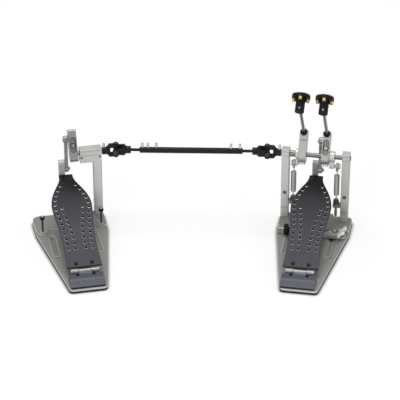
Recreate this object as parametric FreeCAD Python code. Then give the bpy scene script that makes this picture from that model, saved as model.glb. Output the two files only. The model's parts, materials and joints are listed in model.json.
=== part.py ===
import FreeCAD, Part
import math
import os
from FreeCAD import Placement, Rotation, Vector

# Double bass drum pedal, in millimetres and degrees: +X right, +Y to the drum, +Z up.
# The origin lies on the floor under the middle of the primary axle.

# Layout: both pedals share one shape, and the slave is turned and joined by the drive shaft.
AXLE_Z = 166.0
CROSS_SPAN = 323.0
SHAFT_YAW = 8.5
SLAVE_YAW = 21.5
PRIMARY_CROSS_X = -105.0
SLAVE_CROSS_X = 108.0

# Fits: running clearance on the radius, and the wider play of the three open pivots.
RUN = 0.05
LINK_PLAY = 1.5
HOOK_PLAY = 2.0
YOKE_PLAY = 0.4

# Base plate, mat and raised toe platform.
MAT_T = 3.2
MAT_PROUD = 0.3
PLATE_T = 5.3
PLATE_TOP = MAT_T + PLATE_T
PLATFORM_T = 4.5
PLATFORM_TOP = PLATE_TOP + PLATFORM_T
HEEL_Y = -284.5
HEEL_HALF = 38.2
HEEL_CORNER = 8.0
SHOULDER_Y = -56.0
SHOULDER_HALF = 77.0
SHOULDER_CORNER = 60.0
TOE_Y = 12.0
TOE_HALF = 78.0
PRIMARY_SHIFT = 4.0
PRIMARY_CORNERS = (4.0, 10.0)
SLAVE_CORNERS = (16.0, 6.0)
PLATFORM_Y = -45.0
PLATFORM_INSET = 0.6
PLATE_CHAMFER = 0.8
PLATFORM_CHAMFER = 0.5
LIP_HALF = 40.0
LIP_Y = 28.0
POCKET_INSET = 31.5
POCKET_X = SHOULDER_HALF - POCKET_INSET
POCKET_Y0 = -149.0
POCKET_Y1 = -72.0
POCKET_W = 13.0
POCKET_DEPTH = 3.2
POCKET_CHAMFER = 0.8

# Posts, caps and bushes.
POST_X = 64.5
POST_W = 16.5
POST_HALF_D = 9.5
POST_TOP = 173.0
CAP_GAP = 0.5
CAP_TOP = 178.0
CAP_CHAMFER = 1.5
SEAMS = (35.0, 163.5)
SEAM_W = 0.6
SEAM_DEPTH = 0.5
POST_CHAMFER = 0.8
HOUSING_X0 = 29.0
HOUSING_X1 = 75.5
HOUSING_Z = 146.0
HOUSING_BUSH = 8.0
SLAVE_POST_X0 = 58.0
BUSH_R = 7.5
AXLE_R = 5.0
STUB_R = 6.8

# Rotors and cam: blocks that lean forward of the axle.
LEAN = 30.0
ROTOR_W = 17.0
ROTOR_HALF = 11.0
ROTOR_DOWN = 17.5
ROTOR_UP = 52.0
PRIMARY_ROTOR_X = 11.5
SECONDARY_ROTOR_X = -37.8
SLAVE_ROTOR_X = 8.0
SLOT_W = 12.0
SLOT_DEPTH = 5.0
SLOT_T0 = 2.0
SLOT_T1 = 35.0
SLOT_BOLT_T = 17.0
SLOT_BOLT_R = 4.2
SLOT_BOLT_H = 3.5

# Link and stem between the rotor and the footboard.
PIN_R = 3.0
LINK_TOP_R = 33.8
LINK_TOP_ANGLE = 45.0
LINK_FOOT_Y = 25.0
LINK_FOOT_Z = 117.0
EYE_R = 7.5
LINK_W = 7.0
LINK_BAR = 10.0
LINK_GAP = 1.0
STEM_W = 12.5
BOARD_TIP_Y = 19.92
BOARD_TIP_Z = 100.4
STEM_GAP = 0.2
STEM_Y0 = BOARD_TIP_Y - STEM_GAP
STEM_Y1 = STEM_Y0 + STEM_W
STEM_Z0 = 91.0
STEM_TOP = 138.0
STEM_FOOT_IN = 38.0
STEM_FOOT_OUT = 7.0
STEM_FOOT_T = 5.0

# Footboard: half-widths at places along its length, measured from the hinge.
HINGE_Y = -235.0
HINGE_Z = 21.0
TILT = math.degrees(math.atan2(BOARD_TIP_Z - HINGE_Z, BOARD_TIP_Y - HINGE_Y))
BOARD_LOW = 1.9
BOARD_T = 4.6
BOARD_U1 = math.hypot(BOARD_TIP_Y - HINGE_Y, BOARD_TIP_Z - HINGE_Z)
BOARD_EDGE = ((7.0, 37.0), (30.0, 36.0), (56.0, 35.3), (115.0, 37.3), (165.0, 42.2), (182.0, 42.8),
              (196.0, 40.6), (209.0, 36.8), (222.0, 31.0), (235.0, 24.2), (247.0, 18.0), (257.0, 15.2),
              (BOARD_U1, 14.6))
BOARD_CHAMFER = 0.8
HOLE_R = 2.8
OUTER_HOLES = ((56.0, 25.7), (70.0, 26.0), (84.0, 26.3), (98.0, 26.8), (112.0, 27.8), (126.0, 29.3),
               (140.0, 31.0), (154.0, 33.2), (168.0, 35.2), (182.0, 35.3), (195.5, 33.2), (208.5, 29.4),
               (221.5, 23.6), (234.5, 16.8))
INNER_HOLES = ((56.0, 11.3), (71.0, 11.1), (85.5, 11.4), (99.5, 12.1), (114.0, 13.1), (128.0, 15.1),
               (142.0, 17.2), (156.5, 19.9), (171.0, 22.0))

# Heel hinge and heel plate.
BARREL_R = 4.5
HINGE_PIN_R = 2.0
KNUCKLE_MID = 13.4
KNUCKLE_END = 29.8
KNUCKLE_GAP = 0.4
LEAF_T = 2.0
LEAF_U = 34.0
HEEL_PLATE_HALF = 36.0
HEEL_TOP = 20.0
HEEL_WALL = 3.5
HEEL_BACK = 8.0
HEEL_FLAT = 18.0
HEEL_DEPTH = 37.0
HEEL_LIP = 3.0
HEEL_FOOT = 9.0
HEEL_GROOVES = (4.2, 8.2, 12.2)
GROOVE_R = 0.9

# Beaters.
BALL_T = 47.0
BALL_F = -8.0
BALL_R = 7.6
BEATER_BACK = 39.0
BEATER_R = 3.5
BEATER_TAIL = 15.0
BEATER_REACH = 135.0
BORE_SPARE = 1.0
HUB_R = 9.75
HUB_BACK = 10.0
HUB_FRONT = 20.0
DISC_R = 19.3
DISC_T = 6.5
FELT_R = 18.8
FELT_T = 6.0
WEIGHT_R = 4.0
WEIGHT_T = 7.0
WEIGHT_GAP = 0.35
WEIGHT_RING = HUB_R + WEIGHT_R + WEIGHT_GAP

# Springs, their cranks, hooks and anchors.
CRANK_R = 12.0
CRANK_ARM = 20.0
CRANK_BACK = 15.0
CRANK_PRIMARY = (29.5, 40.0)
CRANK_SECONDARY = (-38.2, -42.6)
HOOK_W = 5.6
HOOK_R = 7.5
HOOK_DROP = 12.0
SPRING_PRIMARY_X = 46.5
SPRING_SECONDARY_X = -46.2
WIRE_R = 0.85
COIL_R = 5.15
COIL_TURNS = 20
COIL_PITCH = 2.4
SPRING_FOOT_Z = 68.0
LUG_Z0 = 48.0
LUG_Z1 = 55.0
LUG_HALF = 6.5
ROD_R = 3.0
ROD_Z0 = 25.0
NUT_R = 6.0
NUT_T = 9.0

# Drive shaft and its universal joints, measured from the middle of each cross.
TUBE_R = 6.5
SHAFT_R = 3.25
TUBE_START = 50.8
TUBE_SPARE = 52.3
FIXED_ROD_IN = 40.0
SLIDE_ROD_IN = 110.0
YOKE_HUB_R = 8.0
AXLE_YOKE_BACK = 30.0
AXLE_GRIP = 11.0
SHAFT_YOKE_BACK = 32.0
ROD_GRIP = 12.0
GRIP_GAP = 0.5
YOKE_CONE = 7.0
AXLE_CROTCH = 14.0
SHAFT_CROTCH = 16.0
YOKE_ARM_IN = 8.0
YOKE_ARM_OUT = 13.0
YOKE_ARM_HALF = 6.5
YOKE_FLARE_R = 13.8
YOKE_BOSS_R = 5.5
YOKE_BOSS_OUT = 16.0
CROSS_HALF = 5.0
CROSS_PIN_R = 3.0
CROSS_PIN_HALF = 13.0

# Hoop clamp on the primary toe.
SCREW_INSET = 10.0
SCREW_X = SHOULDER_HALF - SCREW_INSET
SCREW_Y = -68.0
SCREW_R = 3.5
SCREW_TOP = 29.0
WING_Z = 19.5
WING_T = 7.0
WING_HALF = 22.0
WING_W = 6.0
WING_TURN = 72.0
COLLAR_R = 6.5
JAW_PIVOT_Y = -2.0
JAW_PIVOT_Z = 22.0
JAW_Z0 = 19.5
JAW_T = 5.0
JAW_HALF = 28.0
JAW_BACK = 8.0
JAW_FRONT = 26.0
JAW_NECK = 14.0
JAW_BARREL_R = 5.5
ARM_Z0 = 10.0
ARM_T = 4.5
ARM_HALF = 9.0
STEP_Y = -54.0
SADDLE_X = 46.0
SADDLE_Y = -65.0
SADDLE_R = 12.0
SADDLE_TOP = 16.5
LUG_X0 = 14.6
LUG_X1 = 20.0
CLAMP_LUG_HALF = 7.0
CLAMP_LUG_RISE = 6.0

# Spurs through the slave base.
LEFT_SPUR_INSET = 14.5
RIGHT_SPUR_INSET = 11.0
SPURS = {"spur_left": (LEFT_SPUR_INSET - SHOULDER_HALF, -52.0, 43.5),
         "spur_right": (SHOULDER_HALF - RIGHT_SPUR_INSET, -42.0, 43.0)}
SPUR_R = 2.3
SPUR_FOOT_Z = 4.7
SPUR_KNOB_R = 5.0
SPUR_KNOB_T = 6.0
SPUR_BOSS_R = 11.0

X_AXIS = Vector(1, 0, 0)
Y_AXIS = Vector(0, 1, 0)
Z_AXIS = Vector(0, 0, 1)


def box(x0, x1, y0, y1, z0, z1):
    return Part.makeBox(x1 - x0, y1 - y0, z1 - z0, Vector(x0, y0, z0))


def rod(start, end, radius):
    axis = end - start
    return Part.makeCylinder(radius, axis.Length, start, axis)


def rod_x(x0, x1, y, z, radius):
    return rod(Vector(min(x0, x1), y, z), Vector(max(x0, x1), y, z), radius)


def rod_z(x, y, z0, z1, radius):
    return rod(Vector(x, y, z0), Vector(x, y, z1), radius)


def joined(first, *others):
    return first.fuse(list(others)).removeSplitter()


def drilled(body, *tools):
    return body.cut(list(tools))


def placed(shape, place):
    copy = shape.copy()
    copy.Placement = place.multiply(copy.Placement)
    return copy


def rounded_face(corners):
    """Face in the XY plane from corners (a, b, radius)."""
    count = len(corners)
    starts, arcs = [], []
    for index, (a, b, radius) in enumerate(corners):
        here = Vector(a, b, 0)
        before = Vector(corners[index - 1][0], corners[index - 1][1], 0) - here
        after = Vector(corners[(index + 1) % count][0], corners[(index + 1) % count][1], 0) - here
        half = before.getAngle(after) / 2
        before.normalize()
        after.normalize()
        middle = (before + after).normalize()
        reach = radius / math.tan(half)
        near = here + middle * (radius / math.sin(half) - radius)
        starts.append((here + before * reach, here + after * reach))
        arcs.append((near, radius))
    edges = []
    for index, (near, radius) in enumerate(arcs):
        enter, leave = starts[index]
        if radius:
            edges.append(Part.Arc(enter, near, leave).toShape())
        edges.append(Part.makeLine(leave, starts[(index + 1) % count][0]))
    return Part.Face(Part.Wire(edges))


def prism_z(corners, z0, z1):
    face = rounded_face(corners)
    face.translate(Vector(0, 0, z0))
    return face.extrude(Vector(0, 0, z1 - z0))


def prism_x(corners, x0, x1):
    """Prism along X whose corners are (y, z, radius)."""
    face = rounded_face(corners)
    turn = Placement(Vector(x0, 0, 0), Rotation(Vector(1, 1, 1), 120))
    return placed(face, turn).extrude(Vector(x1 - x0, 0, 0))


def mirrored(corners):
    """Closed outline from the corners of the right-hand side."""
    return list(corners) + [(-x, y, radius) for x, y, radius in reversed(corners)]


def slot_z(start, end, width, z0, z1):
    """Slot with round ends between two places, as a cutting tool."""
    along = Vector(end[0] - start[0], end[1] - start[1], 0)
    bar = Part.makeBox(along.Length, width, z1 - z0, Vector(0, -width / 2, 0))
    bar = placed(bar, Placement(Vector(start[0], start[1], z0), Rotation(X_AXIS, along)))
    ends = [rod_z(x, y, z0, z1, width / 2) for x, y in (start, end)]
    return joined(bar, *ends)


def export(name, *solids):
    shape = solids[0] if len(solids) == 1 else Part.makeCompound(list(solids))
    shape.exportStep(os.path.join("parts", name + ".step"))


def slave_place():
    """Where the slave pedal stands, found from the drive shaft and its two bends."""
    yaw = math.radians(SLAVE_YAW)
    cross = cross_points()[1]
    origin = cross - Vector(math.cos(yaw), math.sin(yaw), 0) * SLAVE_CROSS_X
    return Placement(Vector(origin.x, origin.y, 0), Rotation(Z_AXIS, SLAVE_YAW))


def shaft_axis():
    """Direction from the slave cross to the primary cross."""
    yaw = math.radians(SHAFT_YAW)
    return Vector(math.cos(yaw), math.sin(yaw), 0)


def cross_points():
    primary = Vector(PRIMARY_CROSS_X, 0, AXLE_Z)
    return primary, primary - shaft_axis() * CROSS_SPAN


def base_corners(toe_corners, grow=0.0):
    """Outline of a base, with its own radius at the left and the right toe corner."""
    left, right = toe_corners
    half, toe_y = TOE_HALF + grow, TOE_Y + grow
    outline = mirrored([(HEEL_HALF + grow, HEEL_Y - grow, HEEL_CORNER),
                        (SHOULDER_HALF + grow, SHOULDER_Y, SHOULDER_CORNER), (half, toe_y, right)])
    outline[3] = (-half, toe_y, left)
    return outline


def top_edges(solid, level):
    return [edge for edge in solid.Edges
            if abs(edge.BoundBox.ZMin - level) < 1e-4 and abs(edge.BoundBox.ZMax - level) < 1e-4]


def pocketed(plate):
    """The plate with a long pocket at each side, eased round its rim."""
    ends = [((side * POCKET_X, POCKET_Y0), (side * POCKET_X, POCKET_Y1)) for side in (-1, 1)]
    plate = drilled(plate, *[slot_z(start, end, POCKET_W, PLATE_TOP - POCKET_DEPTH, PLATE_TOP + 1.0)
                             for start, end in ends])
    low, high = POCKET_Y0 - POCKET_W, POCKET_Y1 + POCKET_W
    rims = [edge for edge in top_edges(plate, PLATE_TOP)
            if edge.BoundBox.YMin > low and edge.BoundBox.YMax < high
            and abs(abs(edge.BoundBox.Center.x) - POCKET_X) < POCKET_W]
    return plate.makeChamfer(POCKET_CHAMFER, rims)


def base_plate(toe_corners):
    plate = prism_z(base_corners(toe_corners), MAT_T, PLATE_TOP)
    plate = pocketed(plate.makeChamfer(PLATE_CHAMFER, top_edges(plate, PLATE_TOP)))
    inset = PLATFORM_INSET
    outline = base_corners([radius - inset for radius in toe_corners], -inset)[2:4]
    half = SHOULDER_HALF - inset
    outline += [(-half, PLATFORM_Y, 4.0), (half, PLATFORM_Y, 4.0)]
    platform = prism_z(outline, PLATE_TOP - 1.0, PLATFORM_TOP)
    platform = platform.makeChamfer(PLATFORM_CHAMFER, top_edges(platform, PLATFORM_TOP))
    return joined(plate, platform)


def base_mat(toe_corners):
    return prism_z(base_corners(toe_corners, MAT_PROUD), 0.0, MAT_T)


def primary_shift():
    """The primary plate and mat reach further to the right, under the clamp screw."""
    return Placement(Vector(PRIMARY_SHIFT, 0, 0), Rotation())


def primary_plate():
    lip = prism_z(mirrored([(LIP_HALF, 0.0, 0.0), (LIP_HALF, LIP_Y, 8.0)]), MAT_T, PLATE_TOP)
    return joined(placed(base_plate(PRIMARY_CORNERS), primary_shift()), lip)


def slave_plate():
    plate = base_plate(SLAVE_CORNERS)
    for x, y, _ in SPURS.values():
        plate = joined(plate, rod_z(x, y, PLATE_TOP - 1.0, PLATFORM_TOP, SPUR_BOSS_R))
    holes = [rod_z(x, y, SPUR_FOOT_Z - 0.5, PLATFORM_TOP + 1.0, SPUR_R + RUN) for x, y, _ in SPURS.values()]
    return drilled(plate, *holes)


def spur(name):
    x, y, top = SPURS[name]
    knob = rod_z(x, y, top, top + SPUR_KNOB_T, SPUR_KNOB_R)
    knob = knob.makeFillet(1.0, [edge for edge in knob.Edges if edge.Closed])
    return joined(rod_z(x, y, SPUR_FOOT_Z, top + 1.0, SPUR_R), knob)


def axle_bore(x0, x1):
    return rod_x(x0, x1, 0.0, AXLE_Z, BUSH_R + RUN)


def seam(x0, x1, level):
    """Fine groove round a post, as a cutting tool."""
    low, high = level - SEAM_W / 2, level + SEAM_W / 2
    ring = box(x0 - 1, x1 + 1, -POST_HALF_D - 1, POST_HALF_D + 1, low, high)
    inner = POST_HALF_D - SEAM_DEPTH
    return ring.cut(box(x0 + SEAM_DEPTH, x1 - SEAM_DEPTH, -inner, inner, low, high))


def upright(x0, x1):
    """Square post from the platform to the cap, with its corners eased."""
    post = box(x0, x1, -POST_HALF_D, POST_HALF_D, PLATFORM_TOP, POST_TOP)
    corners = [edge for edge in post.Edges if edge.BoundBox.ZLength > 1.0]
    return post.makeChamfer(POST_CHAMFER, corners)


def cap(x0, x1):
    """Bearing cap with its front and back top edges cut off at a slope."""
    low = POST_TOP + CAP_GAP
    flat = POST_HALF_D - CAP_CHAMFER
    shoulder = CAP_TOP - CAP_CHAMFER
    corners = [(-POST_HALF_D, low, 0.0), (POST_HALF_D, low, 0.0), (POST_HALF_D, shoulder, 0.0),
               (flat, CAP_TOP, 0.0), (-flat, CAP_TOP, 0.0), (-POST_HALF_D, shoulder, 0.0)]
    return drilled(prism_x(corners, x0, x1), axle_bore(x0 - 1, x1 + 1))


def bush(x0, x1):
    return drilled(rod_x(x0, x1, 0.0, AXLE_Z, BUSH_R), rod_x(x0 - 1, x1 + 1, 0.0, AXLE_Z, AXLE_R + RUN))


def post_span(side):
    return side * POST_X - POST_W / 2, side * POST_X + POST_W / 2


def primary_post(side):
    x0, x1 = post_span(side)
    return drilled(upright(x0, x1), axle_bore(x0 - 1, x1 + 1), *[seam(x0, x1, level) for level in SEAMS])


def slave_post():
    housing = box(HOUSING_X0, HOUSING_X1, -POST_HALF_D, POST_HALF_D, HOUSING_Z, POST_TOP)
    post = joined(upright(SLAVE_POST_X0, HOUSING_X1), housing)
    return drilled(post, axle_bore(HOUSING_X0 - 1, HOUSING_X1 + 1), seam(SLAVE_POST_X0, HOUSING_X1, SEAMS[0]),
                   seam(HOUSING_X0, HOUSING_X1, SEAMS[1]))


def heel_plate():
    """Hood over the heel hinge, open at both ends, with grooves across its slope."""
    back = HINGE_Y - HEEL_BACK
    shoulder, toe = back - HEEL_FLAT, back - HEEL_DEPTH
    low, roof = PLATE_TOP + HEEL_LIP, HEEL_TOP - HEEL_WALL
    outer = [(back, PLATE_TOP, 0.0), (back, HEEL_TOP, 1.0), (shoulder, HEEL_TOP, 6.0), (toe, low, 2.0),
             (toe, PLATE_TOP, 0.0)]
    wall, foot, under = back - HEEL_WALL, toe + HEEL_FOOT, PLATE_TOP - 1.0
    inner = [(wall, under, 0.0), (wall, roof, 1.0), (shoulder - 1.0, roof, 3.0), (foot, low - 1.0, 1.0),
             (foot, under, 0.0)]
    hood = prism_x(outer, -HEEL_PLATE_HALF, HEEL_PLATE_HALF)
    end = HEEL_PLATE_HALF + 1
    hollow = prism_x(inner, -end, end)
    rise = (HEEL_TOP - low) / (shoulder - toe)
    grooves = [rod_x(-end, end, toe + step, low + GROOVE_R / 2 + rise * step, GROOVE_R)
               for step in HEEL_GROOVES]
    return drilled(hood, hollow, *grooves)


def knuckle(x0, x1):
    return rod_x(x0, x1, HINGE_Y, HINGE_Z, BARREL_R)


def hinge_bore():
    return rod_x(-KNUCKLE_END - 1, KNUCKLE_END + 1, HINGE_Y, HINGE_Z, HINGE_PIN_R + RUN)


def heel_hinge():
    """Middle knuckle on its pedestal, and the hinge pin."""
    pedestal = box(-KNUCKLE_MID, KNUCKLE_MID, HINGE_Y - 7.5, HINGE_Y - 1.0, PLATE_TOP, HINGE_Z - 1.0)
    leaf = drilled(joined(knuckle(-KNUCKLE_MID, KNUCKLE_MID), pedestal), hinge_bore())
    return leaf, rod_x(-KNUCKLE_END, KNUCKLE_END, HINGE_Y, HINGE_Z, HINGE_PIN_R)


def board_place():
    return Placement(Vector(0, HINGE_Y, HINGE_Z), Rotation(X_AXIS, TILT))


def board_hinge():
    """Outer knuckles with the leaf that lies under the footboard."""
    first = KNUCKLE_MID + KNUCKLE_GAP
    low = BOARD_LOW - LEAF_T
    plate = box(-KNUCKLE_END, KNUCKLE_END, BARREL_R + 2.5, LEAF_U, low, BOARD_LOW)
    tabs = [box(min(side * first, side * KNUCKLE_END), max(side * first, side * KNUCKLE_END),
                0.0, BARREL_R + 4.0, low, BOARD_LOW) for side in (-1, 1)]
    leaf = placed(joined(plate, *tabs), board_place())
    barrels = [knuckle(min(side * first, side * KNUCKLE_END), max(side * first, side * KNUCKLE_END))
               for side in (-1, 1)]
    return drilled(joined(leaf, *barrels), hinge_bore())


def edge_curve(side):
    curve = Part.BSplineCurve()
    curve.interpolate([Vector(side * half, along, BOARD_LOW) for along, half in BOARD_EDGE])
    return curve


def board_holes():
    return [rod_z(side * half, along, BOARD_LOW - 1, BOARD_LOW + BOARD_T + 1, HOLE_R)
            for along, half in OUTER_HOLES + INNER_HOLES for side in (-1, 1)]


def footboard():
    right, left = edge_curve(1), edge_curve(-1)
    ends = [Part.makeLine(left.value(at), right.value(at))
            for at in (right.FirstParameter, right.LastParameter)]
    wire = Part.Wire(Part.__sortEdges__([right.toShape(), left.toShape()] + ends))
    slab = Part.Face(wire).extrude(Vector(0, 0, BOARD_T))
    top = BOARD_LOW + BOARD_T
    slab = slab.makeChamfer(BOARD_CHAMFER, top_edges(slab, top))
    return placed(drilled(slab, *board_holes()), board_place())


def stem(rotor_x):
    """Upright bracket in front of the neck, with its foot under the neck and its pin."""
    x1 = rotor_x - LINK_GAP - LINK_W - 0.5
    x0 = x1 - STEM_W
    corners = [(STEM_Y0, STEM_Z0, 2.0), (STEM_Y1, STEM_Z0, 2.0), (STEM_Y1, STEM_TOP, 5.0),
               (STEM_Y0, STEM_TOP, 5.0)]
    u0, u1 = BOARD_U1 - STEM_FOOT_IN, BOARD_U1 + STEM_FOOT_OUT
    foot = placed(box(x0, x1, u0, u1, BOARD_LOW - STEM_FOOT_T, BOARD_LOW), board_place())
    pin = rod_x(x1 - 1.0, rotor_x, LINK_FOOT_Y, LINK_FOOT_Z, PIN_R)
    nut = Part.makeCone(EYE_R - 2.0, PIN_R, 4.0, Vector(rotor_x - 0.5, LINK_FOOT_Y, LINK_FOOT_Z), X_AXIS)
    return joined(prism_x(corners, x0, x1), foot, pin, nut)


def link_top():
    angle = math.radians(LINK_TOP_ANGLE)
    return LINK_TOP_R * math.sin(angle), AXLE_Z + LINK_TOP_R * math.cos(angle)


def link(rotor_x):
    x1 = rotor_x - LINK_GAP
    x0 = x1 - LINK_W
    top_y, top_z = link_top()
    half = LINK_BAR / 2
    bar = prism_x([(LINK_FOOT_Y - half, LINK_FOOT_Z, 0.0), (LINK_FOOT_Y + half, LINK_FOOT_Z, 0.0),
                   (top_y + half, top_z, 0.0), (top_y - half, top_z, 0.0)], x0, x1)
    eyes = [rod_x(x0, x1, LINK_FOOT_Y, LINK_FOOT_Z, EYE_R), rod_x(x0, x1, top_y, top_z, EYE_R)]
    bores = [rod_x(x0 - 1, x1 + 1, LINK_FOOT_Y, LINK_FOOT_Z, PIN_R + RUN),
             rod_x(x0 - 1, x1 + 1, top_y, top_z, PIN_R + LINK_PLAY)]
    return drilled(joined(bar, *eyes), *bores)


def link_stud(rotor_x):
    """Stud on the rotor's left face that carries the top eye of the link."""
    top_y, top_z = link_top()
    head_x = rotor_x - LINK_GAP - LINK_W - 0.5
    return joined(rod_x(head_x, rotor_x + 1.0, top_y, top_z, PIN_R),
                  rod_x(head_x - 2.2, head_x, top_y, top_z, EYE_R - 1.5))


def rotor_place():
    return Placement(Vector(0, 0, AXLE_Z), Rotation(X_AXIS, -LEAN))


def rotor_block(x0):
    tip = ROTOR_HALF - 0.1
    corners = [(-ROTOR_HALF, -ROTOR_DOWN, tip), (ROTOR_HALF, -ROTOR_DOWN, tip),
               (ROTOR_HALF, ROTOR_UP, 4.0), (-ROTOR_HALF, ROTOR_UP, 5.0)]
    return placed(prism_x(corners, x0, x0 + ROTOR_W), rotor_place())


def rotor_slot(x0):
    """Adjusting slot in the drummer's side of the block, as a cutting tool."""
    middle, half = x0 + ROTOR_W / 2, SLOT_W / 2
    tool = slot_z((middle, SLOT_T0 + half), (middle, SLOT_T1 - half), SLOT_W, 0.0, SLOT_DEPTH + 1.0)
    face = Placement(Vector(0, -ROTOR_HALF + SLOT_DEPTH, 0), Rotation(X_AXIS, 90))
    return placed(tool, rotor_place().multiply(face))


def slot_bolt(x0):
    floor = -ROTOR_HALF + SLOT_DEPTH
    middle = x0 + ROTOR_W / 2
    seat, top = Vector(middle, floor, SLOT_BOLT_T), Vector(middle, floor - SLOT_BOLT_H, SLOT_BOLT_T)
    return placed(rod(seat, top, SLOT_BOLT_R), rotor_place())


def ball_middle(x0):
    return rotor_place().multVec(Vector(x0 + ROTOR_W / 2, BALL_F, BALL_T))


def beater_axis():
    back = math.radians(BEATER_BACK)
    return Vector(0, -math.sin(back), math.cos(back))


def beater_seat(x0):
    """Ball socket and the drilling for the beater shaft, as cutting tools."""
    ball = ball_middle(x0)
    drill = rod(ball - beater_axis() * 40.0, ball + beater_axis() * 20.0, BEATER_R + BORE_SPARE)
    return Part.makeSphere(BALL_R + RUN, ball), drill


def axle_hole(x0, x1, radius):
    return rod_x(x0, x1, 0.0, AXLE_Z, radius + RUN)


def primary_rotor():
    x0 = PRIMARY_ROTOR_X
    hole = axle_hole(x0 - 1, x0 + ROTOR_W + 1, AXLE_R)
    block = drilled(rotor_block(x0), hole, rotor_slot(x0), *beater_seat(x0))
    return joined(block, link_stud(x0)), slot_bolt(x0)


def secondary_rotor():
    """Plain block that turns on the end of the primary axle."""
    x0 = SECONDARY_ROTOR_X
    return drilled(rotor_block(x0), axle_hole(x0 + 4.0, x0 + ROTOR_W + 1, AXLE_R), *beater_seat(x0))


def slave_cam():
    x0 = SLAVE_ROTOR_X
    block = drilled(rotor_block(x0), axle_hole(x0 - 1, x0 + ROTOR_W + 1, AXLE_R), rotor_slot(x0))
    return joined(block, link_stud(x0)), slot_bolt(x0)


def ball_collar(x0):
    ball = ball_middle(x0)
    reach = beater_axis() * (BALL_R + 1)
    return drilled(Part.makeSphere(BALL_R, ball), rod(ball - reach, ball + reach, BEATER_R + RUN))


def beater(x0):
    """Shaft, head, felt and weights of one beater."""
    ball, along = ball_middle(x0), beater_axis()
    strike = Vector(0, along.z, -along.y)
    middle = ball + along * BEATER_REACH
    tip = middle + along * 6.0
    shaft = rod(ball - along * BEATER_TAIL, tip, BEATER_R)
    plate = middle + strike * HUB_FRONT
    front = plate + strike * DISC_T
    head = joined(rod(middle - strike * HUB_BACK, plate, HUB_R), rod(plate, front, DISC_R))
    head = drilled(head, rod(ball, tip + along * 0.2, BEATER_R + RUN))
    felt = rod(front, front + strike * FELT_T, FELT_R)
    ring = [Vector(WEIGHT_RING * math.cos(a), 0, 0) + along * (WEIGHT_RING * math.sin(a))
            for a in (math.pi * quarter / 2 for quarter in range(4))]
    weights = [rod(plate + arm - strike * WEIGHT_T, plate + arm, WEIGHT_R) for arm in ring]
    return shaft, head, felt, weights


def crank_pin():
    back = math.radians(CRANK_BACK)
    return -CRANK_ARM * math.sin(back), AXLE_Z - CRANK_ARM * math.cos(back)


def spring_crank(span, spring_x, bore_r):
    """Ring on the axle with an arm and a capped pin for the spring hook."""
    x0, x1 = min(span), max(span)
    outer = span[1]
    way = math.copysign(1.0, outer)
    pin_y, pin_z = crank_pin()
    back = math.radians(CRANK_BACK)
    side_y, side_z = math.cos(back) * 6.0, -math.sin(back) * 6.0
    arm = prism_x([(side_y, AXLE_Z + side_z, 0.0), (-side_y, AXLE_Z - side_z, 0.0),
                   (pin_y - side_y, pin_z - side_z, 0.0), (pin_y + side_y, pin_z + side_z, 0.0)], x0, x1)
    end = spring_x + way * (HOOK_W / 2 + 0.8)
    pin = rod_x(outer - way, end + way, pin_y, pin_z, PIN_R)
    lid = rod_x(end, end + way * 2.5, pin_y, pin_z, PIN_R + HOOK_PLAY + 1.0)
    crank = joined(rod_x(x0, x1, 0.0, AXLE_Z, CRANK_R), arm, rod_x(x0, x1, pin_y, pin_z, 6.0), pin, lid)
    return drilled(crank, axle_hole(x0 - 1, x1 + 1, bore_r))


def spring_hook(spring_x):
    """Ring round the crank pin with a tang down to the spring."""
    pin_y, pin_z = crank_pin()
    x0, x1 = spring_x - HOOK_W / 2, spring_x + HOOK_W / 2
    tang = rod_z(spring_x, pin_y, pin_z - HOOK_DROP, pin_z - PIN_R - HOOK_PLAY - 0.5, 2.6)
    hook = joined(rod_x(x0, x1, pin_y, pin_z, HOOK_R), tang)
    return drilled(hook, rod_x(x0 - 1, x1 + 1, pin_y, pin_z, PIN_R + HOOK_PLAY))


def biarc(p0, t0, p1, t1):
    """Two arcs, as point triples, that leave p0 along t0 and reach p1 along t1."""
    both, gap = t0 + t1, p1 - p0
    slack = 2 * (1 - t0.dot(t1))
    dot = gap.dot(both)
    reach = (math.sqrt(dot * dot + slack * gap.dot(gap)) - dot) / slack
    q0, q1 = p0 + t0 * reach, p1 - t1 * reach
    meet = (q0 + q1) * 0.5
    return [(p0, arc_middle(p0, meet, q0), meet), (meet, arc_middle(meet, p1, q1), p1)]


def arc_middle(start, end, corner):
    chord = (start + end) * 0.5
    half, rise = (start - chord).Length, (corner - chord).Length
    return chord + (corner - chord) * (half * math.tan(math.atan2(rise, half) / 2) / rise)


def coil_state(turn, low):
    """Place and direction on the helix x = r cos(a), y = r sin(a), z = low + pitch a / 2 pi."""
    angle = 2 * math.pi * turn
    place = Vector(COIL_R * math.cos(angle), COIL_R * math.sin(angle), low + COIL_PITCH * turn)
    way = Vector(-math.sin(angle) * COIL_R, math.cos(angle) * COIL_R, COIL_PITCH / (2 * math.pi))
    return place, way.normalize()


def spring_arcs(length):
    """Straight end, half-turn biarcs and straight end, on the spring's own axis."""
    low = (length - COIL_TURNS * COIL_PITCH) / 2
    lead = 2 * WIRE_R
    states = [(Vector(0, 0, lead), Z_AXIS)]
    states += [coil_state(step / 2, low) for step in range(2 * COIL_TURNS + 1)]
    states.append((Vector(0, 0, length - lead), Z_AXIS))
    arcs = []
    for (p0, t0), (p1, t1) in zip(states, states[1:]):
        arcs += biarc(p0, t0, p1, t1)
    return lead, arcs


def least_gap(wire):
    """Least distance of the wire's surface to itself, on points a quarter millimetre apart."""
    points = wire.discretize(Distance=0.25)
    skip = int(COIL_R * 2 / 0.25)
    reach = int(COIL_R * 8 / 0.25)
    return min((points[i] - points[j]).Length for i in range(0, len(points), 3)
               for j in range(i + skip, min(i + reach, len(points)))) - 2 * WIRE_R


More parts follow.
